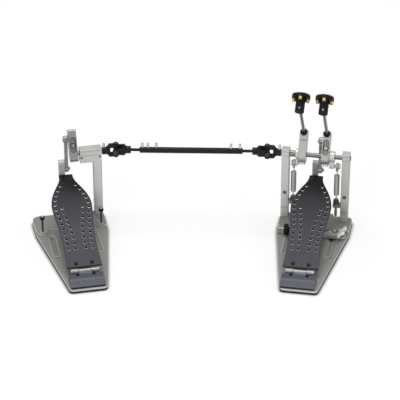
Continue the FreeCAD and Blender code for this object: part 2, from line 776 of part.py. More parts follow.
def spring(name, spring_x):
    pin_y, pin_z = crank_pin()
    length = pin_z - HOOK_DROP - SPRING_FOOT_Z
    lead, arcs = spring_arcs(length)
    edges = [Part.makeLine(Vector(0, 0, 0), Vector(0, 0, lead))]
    edges += [Part.Arc(*points).toShape() for points in arcs]
    edges.append(Part.makeLine(Vector(0, 0, length - lead), Vector(0, 0, length)))
    path = Part.Wire(edges)
    section = Part.Wire([Part.Circle(Vector(0, 0, 0), Z_AXIS, WIRE_R).toShape()])
    solid = path.makePipeShell([section], True, False)
    expected = math.pi * WIRE_R ** 2 * path.Length
    print(name, "least gap", round(least_gap(path), 3), "volume ratio", round(solid.Volume / expected, 4))
    return placed(solid, Placement(Vector(spring_x, pin_y, SPRING_FOOT_Z), Rotation()))


def spring_anchor(side, spring_x):
    """Lug on a post, tension rod through it and the nut on top."""
    pin_y, _ = crank_pin()
    face = side * (POST_X - POST_W / 2)
    end = spring_x - side * LUG_HALF
    lug = box(min(face, end), max(face, end), pin_y - LUG_HALF, pin_y + LUG_HALF, LUG_Z0, LUG_Z1)
    hole = rod_z(spring_x, pin_y, LUG_Z0 - 1, SPRING_FOOT_Z, ROD_R + RUN)
    nut = rod_z(spring_x, pin_y, LUG_Z1, LUG_Z1 + NUT_T, NUT_R)
    return drilled(lug, hole), drilled(nut, hole), rod_z(spring_x, pin_y, ROD_Z0, SPRING_FOOT_Z, ROD_R)


def yoke(back, crotch, bore_r, bore_depth, play):
    """Fork with its cross at the origin: hub towards -Z, pin bores along X."""
    outline = [Vector(0, 0, -back), Vector(YOKE_HUB_R, 0, -back), Vector(YOKE_HUB_R, 0, -crotch - YOKE_CONE),
               Vector(YOKE_FLARE_R, 0, -crotch), Vector(0, 0, -crotch), Vector(0, 0, -back)]
    body = Part.Face(Part.makePolygon(outline)).revolve(Vector(0, 0, 0), Z_AXIS, 360)
    tip = YOKE_ARM_HALF - 0.2
    for side in (-1, 1):
        near, far = side * YOKE_ARM_IN, side * YOKE_ARM_OUT
        arm = prism_x([(-YOKE_ARM_HALF, -crotch - 1.5, 0.0), (YOKE_ARM_HALF, -crotch - 1.5, 0.0),
                       (YOKE_ARM_HALF, YOKE_ARM_HALF, tip), (-YOKE_ARM_HALF, YOKE_ARM_HALF, tip)],
                      min(near, far), max(near, far))
        boss = rod_x(near + side, side * YOKE_BOSS_OUT, 0.0, 0.0, YOKE_BOSS_R)
        body = joined(body, joined(arm, boss))
    reach = CROSS_PIN_HALF + 0.5
    pin_bore = rod_x(-reach, reach, 0.0, 0.0, CROSS_PIN_R + play)
    axle_tool = rod_z(0.0, 0.0, -back - 1.0, -back + bore_depth, bore_r + RUN)
    return drilled(body, pin_bore, axle_tool)


def joint_place(middle, forward, pins):
    """Frame whose Z runs forward to the cross and whose X follows the pins."""
    return Placement(middle, Rotation(pins, forward.cross(pins), forward, "ZXY"))


def cross_piece(middle, across):
    block = box(-CROSS_HALF, CROSS_HALF, -CROSS_HALF, CROSS_HALF, -CROSS_HALF, CROSS_HALF)
    pins = [rod(axis * -CROSS_PIN_HALF, axis * CROSS_PIN_HALF, CROSS_PIN_R) for axis in (Z_AXIS, Y_AXIS)]
    return placed(joined(block, *pins), Placement(middle, Rotation(Y_AXIS, across)))


def drive_train():
    """Crosses, yokes, tube and sliding rod between the two axles."""
    primary, slave = cross_points()
    shaft = shaft_axis()
    across = Z_AXIS.cross(shaft)
    fork = yoke(SHAFT_YOKE_BACK, SHAFT_CROTCH, SHAFT_R, ROD_GRIP, RUN)
    start, end = slave + shaft * TUBE_START, primary - shaft * TUBE_SPARE
    tube = drilled(rod(start, end, TUBE_R), rod(start - shaft, end + shaft, SHAFT_R + RUN))
    rod_slave = rod(slave + shaft * (SHAFT_YOKE_BACK - ROD_GRIP), start + shaft * FIXED_ROD_IN, SHAFT_R)
    rod_primary = rod(end - shaft * SLIDE_ROD_IN, primary - shaft * (SHAFT_YOKE_BACK - ROD_GRIP), SHAFT_R)
    export("cross_primary", cross_piece(primary, across))
    export("cross_slave", cross_piece(slave, across))
    export("drive_yoke_primary", placed(fork, joint_place(primary, shaft, across)))
    export("drive_yoke_slave", placed(fork, joint_place(slave, shaft * -1, across)), rod_slave)
    export("drive_tube", tube)
    export("drive_rod", rod_primary)


def axle_yokes():
    primary, slave = cross_points()
    fork = yoke(AXLE_YOKE_BACK, AXLE_CROTCH, AXLE_R, AXLE_GRIP, YOKE_PLAY)
    slave_way = slave_place().Rotation.multVec(X_AXIS)
    export("yoke_primary", placed(fork, joint_place(primary, X_AXIS * -1, Z_AXIS)))
    export("yoke_slave", placed(fork, joint_place(slave, slave_way, Z_AXIS)))


def clamp_block():
    """Two lugs on the toe platform and the jaw's pivot pin."""
    y0, y1 = JAW_PIVOT_Y - CLAMP_LUG_HALF, JAW_PIVOT_Y + CLAMP_LUG_HALF
    top = JAW_PIVOT_Z + CLAMP_LUG_RISE
    bore = rod_x(-LUG_X1 - 1, LUG_X1 + 1, JAW_PIVOT_Y, JAW_PIVOT_Z, PIN_R + RUN)
    lugs = []
    for side in (-1, 1):
        corners = [(y0, PLATFORM_TOP, 0.0), (y1, PLATFORM_TOP, 0.0), (y1, top, CLAMP_LUG_RISE),
                   (y0, top, CLAMP_LUG_RISE)]
        lug = prism_x(corners, min(side * LUG_X0, side * LUG_X1), max(side * LUG_X0, side * LUG_X1))
        lugs.append(drilled(lug, bore))
    return lugs + [rod_x(-LUG_X1 - 1.5, LUG_X1 + 1.5, JAW_PIVOT_Y, JAW_PIVOT_Z, PIN_R)]


def clamp_jaw():
    """Rocker: front jaw over the hoop, and a stepped rear arm lifted by the wing screw."""
    top, arm_top = JAW_Z0 + JAW_T, ARM_Z0 + ARM_T
    y0, y1 = SCREW_Y - ARM_HALF, SCREW_Y + ARM_HALF
    tip = SCREW_X + ARM_HALF
    front = prism_z(mirrored([(JAW_HALF, JAW_BACK, 2.0), (JAW_HALF, JAW_FRONT, 6.0)]), JAW_Z0, top)
    neck = box(-JAW_NECK, JAW_NECK, y1, JAW_BACK + 4.0, JAW_Z0, top)
    riser = box(-JAW_NECK, JAW_NECK, y1 - 3.0, STEP_Y, ARM_Z0, top)
    end_r = ARM_HALF - 0.1
    arm = prism_z([(-JAW_NECK, y0, 3.0), (tip, y0, end_r), (tip, y1, end_r), (-JAW_NECK, y1, 0.0)],
                  ARM_Z0, arm_top)
    saddle = rod_z(SADDLE_X, SADDLE_Y, ARM_Z0, SADDLE_TOP, SADDLE_R)
    barrel = rod_x(-JAW_NECK, JAW_NECK, JAW_PIVOT_Y, JAW_PIVOT_Z, JAW_BARREL_R)
    jaw = joined(front, neck, riser, arm, saddle, barrel)
    return drilled(jaw, rod_x(-JAW_NECK - 1, JAW_NECK + 1, JAW_PIVOT_Y, JAW_PIVOT_Z, PIN_R + RUN),
                   rod_z(SCREW_X, SCREW_Y, ARM_Z0 - 1, arm_top + 1, SCREW_R + 1.5))


def clamp_screw():
    """Upright wing screw that stands on the plate."""
    shank = rod_z(SCREW_X, SCREW_Y, PLATE_TOP, SCREW_TOP, SCREW_R)
    collar = rod_z(SCREW_X, SCREW_Y, WING_Z, WING_Z + WING_T, COLLAR_R)
    turn = math.radians(WING_TURN)
    reach = WING_HALF - WING_W / 2
    dx, dy = reach * math.cos(turn), reach * math.sin(turn)
    wing = slot_z((SCREW_X - dx, SCREW_Y - dy), (SCREW_X + dx, SCREW_Y + dy), WING_W, WING_Z + 1.0,
                  WING_Z + WING_T - 1.0)
    return joined(shank, collar, wing)


def export_pedal(suffix, place, rotor_x):
    """The pieces that both pedals share."""
    leaf, pin = heel_hinge()
    export("heel_plate_" + suffix, placed(heel_plate(), place))
    export("heel_hinge_" + suffix, placed(leaf, place), placed(pin, place))
    export("board_hinge_" + suffix, placed(board_hinge(), place))
    export("footboard_" + suffix, placed(footboard(), place))
    export("stem_" + suffix, placed(stem(rotor_x), place))
    export("link_" + suffix, placed(link(rotor_x), place))


def export_beater(suffix, rotor_x):
    shaft, head, felt, weights = beater(rotor_x)
    export("ball_collar_" + suffix, ball_collar(rotor_x))
    export("beater_shaft_" + suffix, shaft)
    export("beater_head_" + suffix, head)
    export("beater_felt_" + suffix, felt)
    export("beater_weights_" + suffix, *weights)


def export_springs():
    for suffix, side, x, span, bore in (("primary", 1, SPRING_PRIMARY_X, CRANK_PRIMARY, AXLE_R),
                                        ("secondary", -1, SPRING_SECONDARY_X, CRANK_SECONDARY, STUB_R)):
        export("spring_" + suffix, spring(suffix, x))
        export("spring_hook_" + suffix, spring_hook(x))
        export("spring_crank_" + suffix, spring_crank(span, x, bore))
    export("spring_anchors", *spring_anchor(1, SPRING_PRIMARY_X), *spring_anchor(-1, SPRING_SECONDARY_X))


def export_primary():
    left, right = post_span(-1), post_span(1)
    export_pedal("primary", Placement(), PRIMARY_ROTOR_X)
    export("base_mat_primary", placed(base_mat(PRIMARY_CORNERS), primary_shift()))
    export("base_plate_primary", primary_plate())
    export("post_left", primary_post(-1))
    export("post_right", primary_post(1))
    export("post_caps_primary", cap(*left), cap(*right))
    export("bushes_primary", bush(*left), bush(*right))
    export("axle_primary", rod_x(SECONDARY_ROTOR_X + 4.5, right[1] + 2.0, 0.0, AXLE_Z, AXLE_R))
    export("rotor_primary", *primary_rotor())
    export("rotor_secondary", secondary_rotor())
    wide = rod_x(left[1] + 0.4, SECONDARY_ROTOR_X, 0.0, AXLE_Z, STUB_R)
    journal_x0 = PRIMARY_CROSS_X + AXLE_YOKE_BACK - AXLE_GRIP + GRIP_GAP
    journal = rod_x(journal_x0, left[1] + 1.0, 0.0, AXLE_Z, AXLE_R)
    export("stub_secondary", joined(wide, journal))
    export("clamp_block", *clamp_block())
    export("clamp_jaw", clamp_jaw())
    export("clamp_screw", clamp_screw())


def export_slave():
    place = slave_place()
    export_pedal("slave", place, SLAVE_ROTOR_X)
    ends = [bush(HOUSING_X0, HOUSING_X0 + HOUSING_BUSH), bush(HOUSING_X1 - HOUSING_BUSH, HOUSING_X1)]
    axle_end = SLAVE_CROSS_X - AXLE_YOKE_BACK + AXLE_GRIP - GRIP_GAP
    export("base_mat_slave", placed(base_mat(SLAVE_CORNERS), place))
    export("base_plate_slave", placed(slave_plate(), place))
    export("post_slave", placed(slave_post(), place))
    export("housing_cap_slave", placed(cap(HOUSING_X0, HOUSING_X1), place))
    export("bushes_slave", *[placed(ring, place) for ring in ends])
    export("axle_slave", placed(rod_x(SLAVE_ROTOR_X, axle_end, 0.0, AXLE_Z, AXLE_R), place))
    export("cam_slave", *[placed(solid, place) for solid in slave_cam()])
    for name in SPURS:
        export(name, placed(spur(name), place))


os.makedirs("parts", exist_ok=True)
export_primary()
export_slave()
export_springs()
export_beater("primary", PRIMARY_ROTOR_X)
export_beater("secondary", SECONDARY_ROTOR_X)
drive_train()
axle_yokes()
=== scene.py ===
"""Looks of a double bass drum pedal: finishes of the solids, wound springs, felts and fasteners."""
import json
import math

import bpy
import numpy as np
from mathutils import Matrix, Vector


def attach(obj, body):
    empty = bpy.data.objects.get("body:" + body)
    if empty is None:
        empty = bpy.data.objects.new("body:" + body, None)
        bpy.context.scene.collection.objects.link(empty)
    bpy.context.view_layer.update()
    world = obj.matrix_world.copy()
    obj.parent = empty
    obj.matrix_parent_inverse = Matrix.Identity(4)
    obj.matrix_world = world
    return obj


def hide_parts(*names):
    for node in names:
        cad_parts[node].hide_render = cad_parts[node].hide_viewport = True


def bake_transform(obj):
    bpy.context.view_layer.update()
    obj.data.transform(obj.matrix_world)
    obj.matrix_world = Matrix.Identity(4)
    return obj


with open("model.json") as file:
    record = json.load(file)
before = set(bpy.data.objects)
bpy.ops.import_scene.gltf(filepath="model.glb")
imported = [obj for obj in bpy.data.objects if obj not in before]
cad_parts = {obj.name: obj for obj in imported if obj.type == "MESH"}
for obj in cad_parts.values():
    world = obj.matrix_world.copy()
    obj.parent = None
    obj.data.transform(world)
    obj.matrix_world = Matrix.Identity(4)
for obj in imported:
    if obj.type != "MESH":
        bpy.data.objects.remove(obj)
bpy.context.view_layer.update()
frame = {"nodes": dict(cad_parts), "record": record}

# Camera, as the photograph was taken: degrees, metres and millimetres of lens.
CAMERA_AZIMUTH = 9.9
CAMERA_ELEVATION = 31.0
CAMERA_DISTANCE = 4.84
CAMERA_TARGET = (-0.25907, 0.04889, 0.0)
CAMERA_LENS = 198.0
CAMERA_SENSOR = 36.0
CAMERA_FAR = 50.0

# Surround: colours, its fall to the back, the floor's half width and glow, and its contact shadow.
WORLD_NEAR = (0.575, 0.575, 0.575)
WORLD_FAR = (0.365, 0.365, 0.37)
WORLD_FALL = 0.6
PAPER = (0.97, 0.97, 0.97, 1.0)
FLOOR_HALF = 8.0
FLOOR_GLOW = 0.65
CONTACT_REACH = 0.0075
CONTACT_SAMPLES = 16

# Lamps: place, aim, width and depth, power in watts.
LAMPS = {"overhead": ((-0.5, 0.6, 4.2), (-0.25, 0.0, 0.0), (3.0, 2.2), 104.0),
         "front": ((-1.2, -3.4, 1.8), (-0.25, 0.0, 0.1), (2.2, 1.2), 23.0),
         "right": ((2.2, -0.8, 1.6), (-0.1, 0.0, 0.15), (0.8, 1.4), 5.0)}

# Places of the colour sockets on a Mix node, and of its colour output.
MIX_FACTOR, MIX_LOW, MIX_HIGH = 0, 6, 7
MIX_COLOUR = 2

# Finishes: scales per metre, depths and heights in metres, tones as factors of a colour.
NOISE_ROUGHNESS = 0.6
EDGE_SAMPLES = 6
EDGE_GAIN = 7.0
BLAST_SCALE = 2400.0
BLAST_DEPTH = 0.00012
FINE_DEPTH = 0.0001
FELT_DEPTH = 0.0006
LINES_ALONG = (40.0, 2600.0, 2600.0)
LINES_UPRIGHT = (2600.0, 2600.0, 40.0)
NO_LINES = (900.0, 900.0, 900.0)
# Tone of a painted highlight on upright faces of anodised metal.
WALL_HIGHLIGHT = 2.8
# Tone of edges made paler, partly by wear and partly by a painted highlight.
EDGE_WEAR_AND_HIGHLIGHT = 2.6
# Heights and colour of painted shade: black below a set height, just above the mat.
FOOT_SHADE_HEIGHTS = (0.0045, 0.0048)
FOOT_SHADE_BLACK = (0.045, 0.044, 0.042)
# Painted shade on faces turned to the side: gain and start of its mask.
SIDE_SHADE_GAIN = 4.0
SIDE_SHADE_START = 2.6
BOARD_LEVELS = (1.35, 0.68, 0.1)
TREAD_START = (0.021, 0.026)
NECK_START = (0.06, 0.098)

# Layout shared with the solids, in metres and radians.
MM = 0.001
PEDALS = ("primary", "slave")
AXLE_Z = 0.166
SHAFT_YAW = math.radians(8.5)
SLAVE_YAW = math.radians(21.5)
CROSS_SPAN = 0.323
PRIMARY_CROSS = np.array([-0.105, 0.0, AXLE_Z])
SLAVE_CROSS_X = 0.108
SHAFT = np.array([math.cos(SHAFT_YAW), math.sin(SHAFT_YAW), 0.0])
SLAVE_CROSS = PRIMARY_CROSS - SHAFT * CROSS_SPAN
UP = np.array([0.0, 0.0, 1.0])
LEFT = np.array([-1.0, 0.0, 0.0])
FRONT = np.array([0.0, -1.0, 0.0])
TUBE_R = 0.0065
YOKE_HUB_R = 0.008
YOKE_BOSS_OUT = 0.016
PLATE_TOP = 0.0085
POCKET_X = 0.0455
POCKET_Y = -0.1105
POCKET_REACH = 0.032
POST_X = 0.0645
POST_FRONT_Y = -0.0095

# Footboards: holes by place along and half spacing, in millimetres from the hinge.
TILT = math.radians(17.3)
HINGE = np.array([0.0, -0.235, 0.021])
HINGE_GAP_X = 0.0136
BOARD_TOP = 0.0065
HOLES = ((56.0, 25.7), (70.0, 26.0), (84.0, 26.3), (98.0, 26.8), (112.0, 27.8), (126.0, 29.3),
         (140.0, 31.0), (154.0, 33.2), (168.0, 35.2), (182.0, 35.3), (195.5, 33.2), (208.5, 29.4),
         (221.5, 23.6), (234.5, 16.8), (56.0, 11.3), (71.0, 11.1), (85.5, 11.4), (99.5, 12.1),
         (114.0, 13.1), (128.0, 15.1), (142.0, 17.2), (156.5, 19.9), (171.0, 22.0))

# Rotors and beaters.
LEAN = math.radians(30.0)
ROTOR_MIDDLES = {"primary": 0.020, "secondary": -0.0293}
CAM_MIDDLE = 0.0165
ROTOR_HALF = 0.011
ROTOR_DOWN = 0.0175
BALL_Y, BALL_Z = 0.016572, 0.210703
BEATER_BACK = math.radians(39.0)
BEATER_REACH = 0.135
BEATER_AXIS = np.array([0.0, -math.sin(BEATER_BACK), math.cos(BEATER_BACK)])
STRIKE_AXIS = np.array([0.0, math.cos(BEATER_BACK), math.sin(BEATER_BACK)])
HUB_R = 0.00975

# Felts: back measured from the rim, crown from the striking face.
FELT_START = 0.0265
FELT_T = 0.006
FELT_R = 0.0188
FELT_RIM = 0.0032
FELT_RIM_DOWN = 0.0006
FELT_RIM_STEPS = 8
FELT_BACK = ((-0.0007, 0.0), (-0.0001, 0.0006), (0.0, 0.0018))
FELT_CROWN = ((0.013, -0.0002), (0.008, -0.00005), (0.003, 0.0))

# Springs: lead is the turns over which an end runs out from the axis, rise how steeply it starts.
SPRINGS = {"primary": 0.0465, "secondary": -0.0462}
SPRING_Y = -0.00518
SPRING_FOOT_Z = 0.068
SPRING_TOP_Z = 0.13468
COIL_R = 0.00515
COIL_PITCH = 0.0024
COIL_TURNS = 20
COIL_LEAD = 0.75
COIL_RISE = 2.4
COIL_STEPS = 36
WIRE_R = 0.00085
WIRE_SIDES = 10

# Trim: steps round a piece, the angle of a sharp edge, depths sunk in a face, powers of squares.
ROUND_STEPS = 48
FELT_STEPS = 72
HOLE_STEPS = 24
SHARP_ANGLE = math.radians(35)
SUNK_LEAST = 0.0002
SUNK_LITTLE = 0.0003
SUNK = 0.0004
SUNK_DEEP = 0.0006
SOFT_SQUARE = 5.0
SQUARE = 6.0
SHARP_SQUARE = 7.0

# Screws: shares of a cap screw's size for its edge and socket, radius and height, and places.
HEAD_EDGE = 0.25
SOCKET_MOUTH = 0.5
SOCKET_FLOOR = 0.45
HEEL_END_SCREW = (0.0044, 0.0018)
HEEL_END_X, HEEL_END_ALONG = 0.0165, 0.0153
SMALL_SCREW = (0.0036, 0.0018)
NECK_X = {"primary": -0.001, "slave": -0.007}
NECK_ALONG = (0.2615, 0.2525)
HEEL_SCREW_X, HEEL_SCREW_Y, HEEL_SCREW_Z = 0.0168, -0.2478, 0.0197
HOUSING_SCREW = (0.0021, 0.001)
HOUSING_SCREWS_X, HOUSING_SCREW_Z = (0.0325, 0.0715), 0.1585
POST_SCREW = (0.0047, 0.0009)
POST_SCREW_Z = 0.074
HUB_SCREW = (0.0019, 0.001)
HUB_SCREW_BACK = 0.004
TUBE_SCREWS_ALONG = (0.0566, 0.0687, 0.0865, 0.2457, 0.2647)
YOKE_SCREW_BACK = 0.0265

# Other trim: stubs by radius, length and rounded edge, and where they stand.
POST_SOCKET = (0.0014, 0.0006, 0.0002)
POST_SEAM = (0.0004, 0.0144, 0.0001)
POST_SEAM_Z = 0.038
SLOT_WASHER = (0.0056, 0.0016, 0.0004)
SLOT_WASHER_UP, SLOT_WASHER_DEPTH = 0.017, 0.0053
SLOT_UP, SLOT_DEPTH, SLOT_REACH = 0.0185, 0.0052, 0.0105
ROTOR_SEAM = (0.0012, 0.0164, 0.0003)
ROTOR_SEAM_UP, ROTOR_SEAM_DEPTH = 0.030, 0.001
ROTOR_STUD = (0.0034, 0.005, 0.001)
ROTOR_STUD_X = 0.0044
# Black strip of painted shadow under each heel plate's front lip.
HEEL_SHADE_STRIP = (0.0012, 0.070, 0.0005)
HEEL_SHADE_STRIP_Y, HEEL_SHADE_STRIP_UP = -0.2807, 0.001
NUT_FOOT_Z = 0.05502
SPUR_RING = (0.0054, 0.0062, 0.0008)
SPUR_RING_FOOT = ((0.0042, -0.0002), (0.0054, 0.0006))
SPUR_PIP = (0.0027, 0.0069, 0.0008)
SPUR_BOSS_TOP = 0.013
SPURS = {"spur_left": (-0.0625, -0.052, 0.0435), "spur_right": (0.066, -0.042, 0.043)}
SIDE_END = np.array([-0.0425, -0.071, 0.0203])
SIDE_SHAFT = (0.003, 0.031, 0.0006)
SIDE_WHEEL_OUT, SIDE_TIP_OUT = 0.0045, 0.0205
SIDE_BRACKET = (0.0045, 0.0152, 0.001)
CLAMP_PAD = (0.0122, 0.0016, 0.0005)
CLAMP_PAD_AT = (0.0468, -0.0685, PLATE_TOP - SUNK_LEAST)
SADDLE_WASHER = (0.0047, 0.0009, 0.0002)
SADDLE_WASHER_AT = (0.0508, -0.0582, 0.0162)
SADDLE_BOLT = (0.0033, 0.0032, 0.0012)
SADDLE_BOLT_AT = (0.0508, -0.0582, 0.0168)
SADDLE_BAR = (0.0013, 0.021, 0.0005)
SADDLE_BAR_MIDDLE = np.array([0.046, -0.065, 0.0161])
SADDLE_BAR_WAY = np.array([0.78, -0.62, 0.0])
ARM_BOLT = (0.0036, 0.0019, 0.0005)
ARM_BOLT_AT = (0.0575, -0.0628, 0.0143)


class Wire:
    """A socket in a tree of nodes; sums and products on it add Math nodes."""

    def __init__(self, nodes, socket):
        self.nodes = nodes
        self.socket = socket

    def math(self, operation, first, second):
        return self.nodes.add("ShaderNodeMath", {"operation": operation}, {0: first, 1: second})

    def __add__(self, other):
        return self.math("ADD", self, other)

    def __radd__(self, other):
        return self.math("ADD", other, self)

    def __sub__(self, other):
        return self.math("SUBTRACT", self, other)

    def __rsub__(self, other):
        return self.math("SUBTRACT", other, self)

    def __mul__(self, other):
        return self.math("MULTIPLY", self, other)

    def __rmul__(self, other):
        return self.math("MULTIPLY", other, self)


class Nodes:
    """A tree of shader nodes, emptied and then filled by add()."""

    def __init__(self, tree):
        self.tree = tree
        tree.nodes.clear()

    def feed(self, socket, value):
        if isinstance(value, Wire):
            self.tree.links.new(value.socket, socket)
        else:
            socket.default_value = value

    def add(self, kind, settings=None, sockets=None, out=0):
        """New node with its settings and then its sockets; gives one of its outputs, if it has any."""
        node = self.tree.nodes.new(kind)
        for key, value in (settings or {}).items():
            setattr(node, key, value)
        for key, value in (sockets or {}).items():
            self.feed(node.inputs[key], value)
        return Wire(self, node.outputs[out]) if node.outputs else node

    def clamped(self, value):
        return self.add("ShaderNodeClamp", sockets={"Value": value})

    def between(self, factor, low, high):
        """Colour mixed from low to high by a factor."""
        low, high = (end if isinstance(end, Wire) else (*end, 1.0) for end in (low, high))
        sockets = {MIX_FACTOR: factor, MIX_LOW: low, MIX_HIGH: high}
        return self.add("ShaderNodeMix", {"data_type": "RGBA"}, sockets, out=MIX_COLOUR)


class Finish(Nodes):
    """A material's nodes, with the masks and noises that the finishes share."""

    def __init__(self, name):
        self.material = bpy.data.materials.new(name)
        self.material.use_nodes = True
        super().__init__(self.material.node_tree)
        self.place = self.add("ShaderNodeTexCoord", out="Object")

    def stretched(self, scale, turn=(0.0, 0.0, 0.0)):
        sockets = {"Vector": self.place, "Scale": scale, "Rotation": turn}
        return self.add("ShaderNodeMapping", sockets=sockets)

    def noise(self, scale, detail=3.0, place=None):
        sockets = {"Vector": place or self.place, "Scale": scale, "Detail": detail,
                   "Roughness": NOISE_ROUGHNESS}
        return self.add("ShaderNodeTexNoise", sockets=sockets)

    def height(self, low, high):
        """0 below one height, 1 above another, in metres over the floor."""
        over_floor = self.add("ShaderNodeSeparateXYZ", sockets={0: self.place}, out="Z")
        return self.clamped((over_floor - low) * (1.0 / (high - low)))

    def edges(self, width):
        """1 on the edges, within a width, and 0 on the faces."""
        soft = self.add("ShaderNodeBevel", {"samples": EDGE_SAMPLES}, {"Radius": width})
        flat = self.add("ShaderNodeNewGeometry", out="Normal")
        match = self.add("ShaderNodeVectorMath", {"operation": "DOT_PRODUCT"}, {0: soft, 1: flat},
                         out="Value")
        return self.clamped((1.0 - match) * EDGE_GAIN)

    def facing(self, axis):
        """1 on faces square to an axis and 0 on faces along it."""
        flat = self.add("ShaderNodeNewGeometry", out="Normal")
        part = self.add("ShaderNodeSeparateXYZ", sockets={0: flat}, out=axis)
        return self.add("ShaderNodeMath", {"operation": "ABSOLUTE"}, {0: part})

    def bump(self, height, strength, distance):
        sockets = {"Height": height, "Strength": strength, "Distance": distance}
        return self.add("ShaderNodeBump", sockets=sockets)

    def shade(self, **sockets):
        """Closes the material with one Principled shader, its sockets named with underscores."""
        named = {key.replace("_", " "): value for key, value in sockets.items()}
        shader = self.add("ShaderNodeBsdfPrincipled", sockets=named)
        self.add("ShaderNodeOutputMaterial", sockets={"Surface": shader})
        return self.material


def tone(colour, factor):
    """Colour made darker or paler by a factor."""
    return tuple(min(1.0, channel * factor) for channel in colour)


def blasted_metal(name, colour, roughness, metallic):
    """Bead-blasted, anodised metal: fine even grain, slow drift of tone, a painted highlight on upright
    faces, edges paler by wear and a painted highlight, and black painted shade below a set height above
    the mat."""
    finish = Finish(name)
    grains = finish.noise(BLAST_SCALE, 2.0)
    drift = finish.noise(18.0, 4.0)
    body = finish.between(drift * 0.65 + grains * 0.35, tone(colour, 0.8), tone(colour, 1.2))
    # Paler edges: partly wear, partly a painted highlight.
    worn_and_highlit = finish.edges(0.0009) * (finish.noise(55.0, 3.0) * 0.9)
    upright = finish.clamped(1.0 - finish.facing("Z"))
    # Upright faces made paler: a painted highlight.
    walls = finish.between(upright * 0.6, body, tone(colour, WALL_HIGHLIGHT))
    metal = finish.between(worn_and_highlit, walls, tone(colour, EDGE_WEAR_AND_HIGHLIGHT))
    # Black below a set height: painted shade at the foot of the base.
    foot_shaded = finish.between(finish.height(*FOOT_SHADE_HEIGHTS), FOOT_SHADE_BLACK, metal)
    return finish.shade(Base_Color=foot_shaded, Metallic=metallic,
                        Roughness=grains * 0.14 + drift * 0.12 + (roughness - 0.13),
                        Normal=finish.bump(grains, 0.14, BLAST_DEPTH))


def brushed_metal(name, colour, roughness, metallic=0.6, along=LINES_ALONG, side_shade=0.0):
    """Machined metal: hair lines along one axis, hand wear, and painted shade: dark edges and, if asked,
    dark faces turned to the side.
    """
    finish = Finish(name)
    lines = finish.noise(1.0, 2.0, finish.stretched(along))
    wear = finish.noise(30.0, 4.0)
    body = finish.between(lines * 0.4 + wear * 0.6, tone(colour, 0.8), tone(colour, 1.16))
    # Dark edges and, if asked, dark faces turned to the side: painted shade.
    dark = finish.edges(0.001) * 0.7
    if side_shade:
        sideways_shade = finish.clamped(finish.facing("X") * SIDE_SHADE_GAIN - SIDE_SHADE_START)
        dark = finish.clamped(dark + sideways_shade * side_shade)
    return finish.shade(Base_Color=finish.between(dark, body, tone(colour, 0.3)),
                        Metallic=metallic, Roughness=lines * 0.16 + wear * 0.14 + (roughness - 0.15),
                        Normal=finish.bump(lines, 0.12, FINE_DEPTH))


def plated_metal(name, colour, roughness):
    """Bright plating with slight clouding, and dark lines at its edges as painted shade."""
    finish = Finish(name)
    cloud = finish.noise(80.0, 4.0)
    fine = finish.noise(1500.0, 2.0)
    body = finish.between(cloud, tone(colour, 0.78), tone(colour, 1.15))
    # Dark lines at the edges: painted shade.
    return finish.shade(Base_Color=finish.between(finish.edges(0.0005) * 0.6, body, tone(colour, 0.35)),
                        Metallic=0.65, Roughness=cloud * 0.16 + (roughness - 0.08),
                        Normal=finish.bump(fine, 0.05, FINE_DEPTH))


def black_coat(name, colour, roughness, grain_scale=1600.0, grain=0.16):
    """Black lacquer or moulded plastic: fine texture, duller patches, edges paler by wear and painted
    highlight.
    """
    finish = Finish(name)
    grains = finish.noise(grain_scale, 2.0)
    patch = finish.noise(45.0, 4.0)
    body = finish.between(patch, tone(colour, 0.6), tone(colour, 1.5))
    # Paler edges: partly rubbing, partly a painted highlight.
    rubbed_and_highlit = finish.edges(0.0005) * (finish.noise(90.0, 3.0) * 0.6)
    return finish.shade(Base_Color=finish.between(rubbed_and_highlit, body, tone(colour, 6.0)), Metallic=0.0,
                        Specular_IOR_Level=0.14, Roughness=patch * 0.18 + (roughness - 0.09),
                        Normal=finish.bump(grains, grain, FINE_DEPTH))


def board_coat(name, colour):
    """Dark blue-grey anodising on the footboards: blasted grain, foot scuffs, deeper up the board."""
    finish = Finish(name)
    grains = finish.noise(BLAST_SCALE, 2.0)
    scuffs = finish.noise(1.0, 5.0, finish.stretched((160.0, 30.0, 30.0), (0.0, 0.0, 0.4)))
    drift = finish.noise(14.0, 4.0)
    pattern = drift * 0.4 + scuffs * 0.3 + grains * 0.3
    heel, tread, neck = (finish.between(pattern, tone(colour, level * 0.75), tone(colour, level * 1.25))
                         for level in BOARD_LEVELS)
    body = finish.between(finish.height(*TREAD_START), heel, tread)
    deep = finish.between(finish.height(*NECK_START), body, neck)
    # Paler edges: partly wear, partly a painted highlight.
    worn_and_highlit = finish.edges(0.0006) * (finish.noise(60.0, 3.0) * 0.35)
    return finish.shade(Base_Color=finish.between(worn_and_highlit, deep, tone(colour, 1.8)), Metallic=0.3,
                        Specular_IOR_Level=0.3, Roughness=scuffs * 0.16 + grains * 0.1 + 0.38,
                        Normal=finish.bump(grains, 0.16, BLAST_DEPTH))


def pressed_felt(name, colour):
    """Pressed wool: short crossed fibres, slightly yellowed in patches."""
    finish = Finish(name)
    fibres = finish.noise(1100.0, 5.0, finish.stretched((1.0, 0.35, 0.6), (0.4, 0.2, 0.9)))
    patch = finish.noise(70.0, 4.0)
    wool = finish.between(patch * 0.6 + fibres * 0.4, tone(colour, 0.82), tone(colour, 1.12))
    return finish.shade(Base_Color=wool, Metallic=0.0, Roughness=0.95, Sheen_Weight=0.25,
                        Normal=finish.bump(fibres, 0.55, FELT_DEPTH))


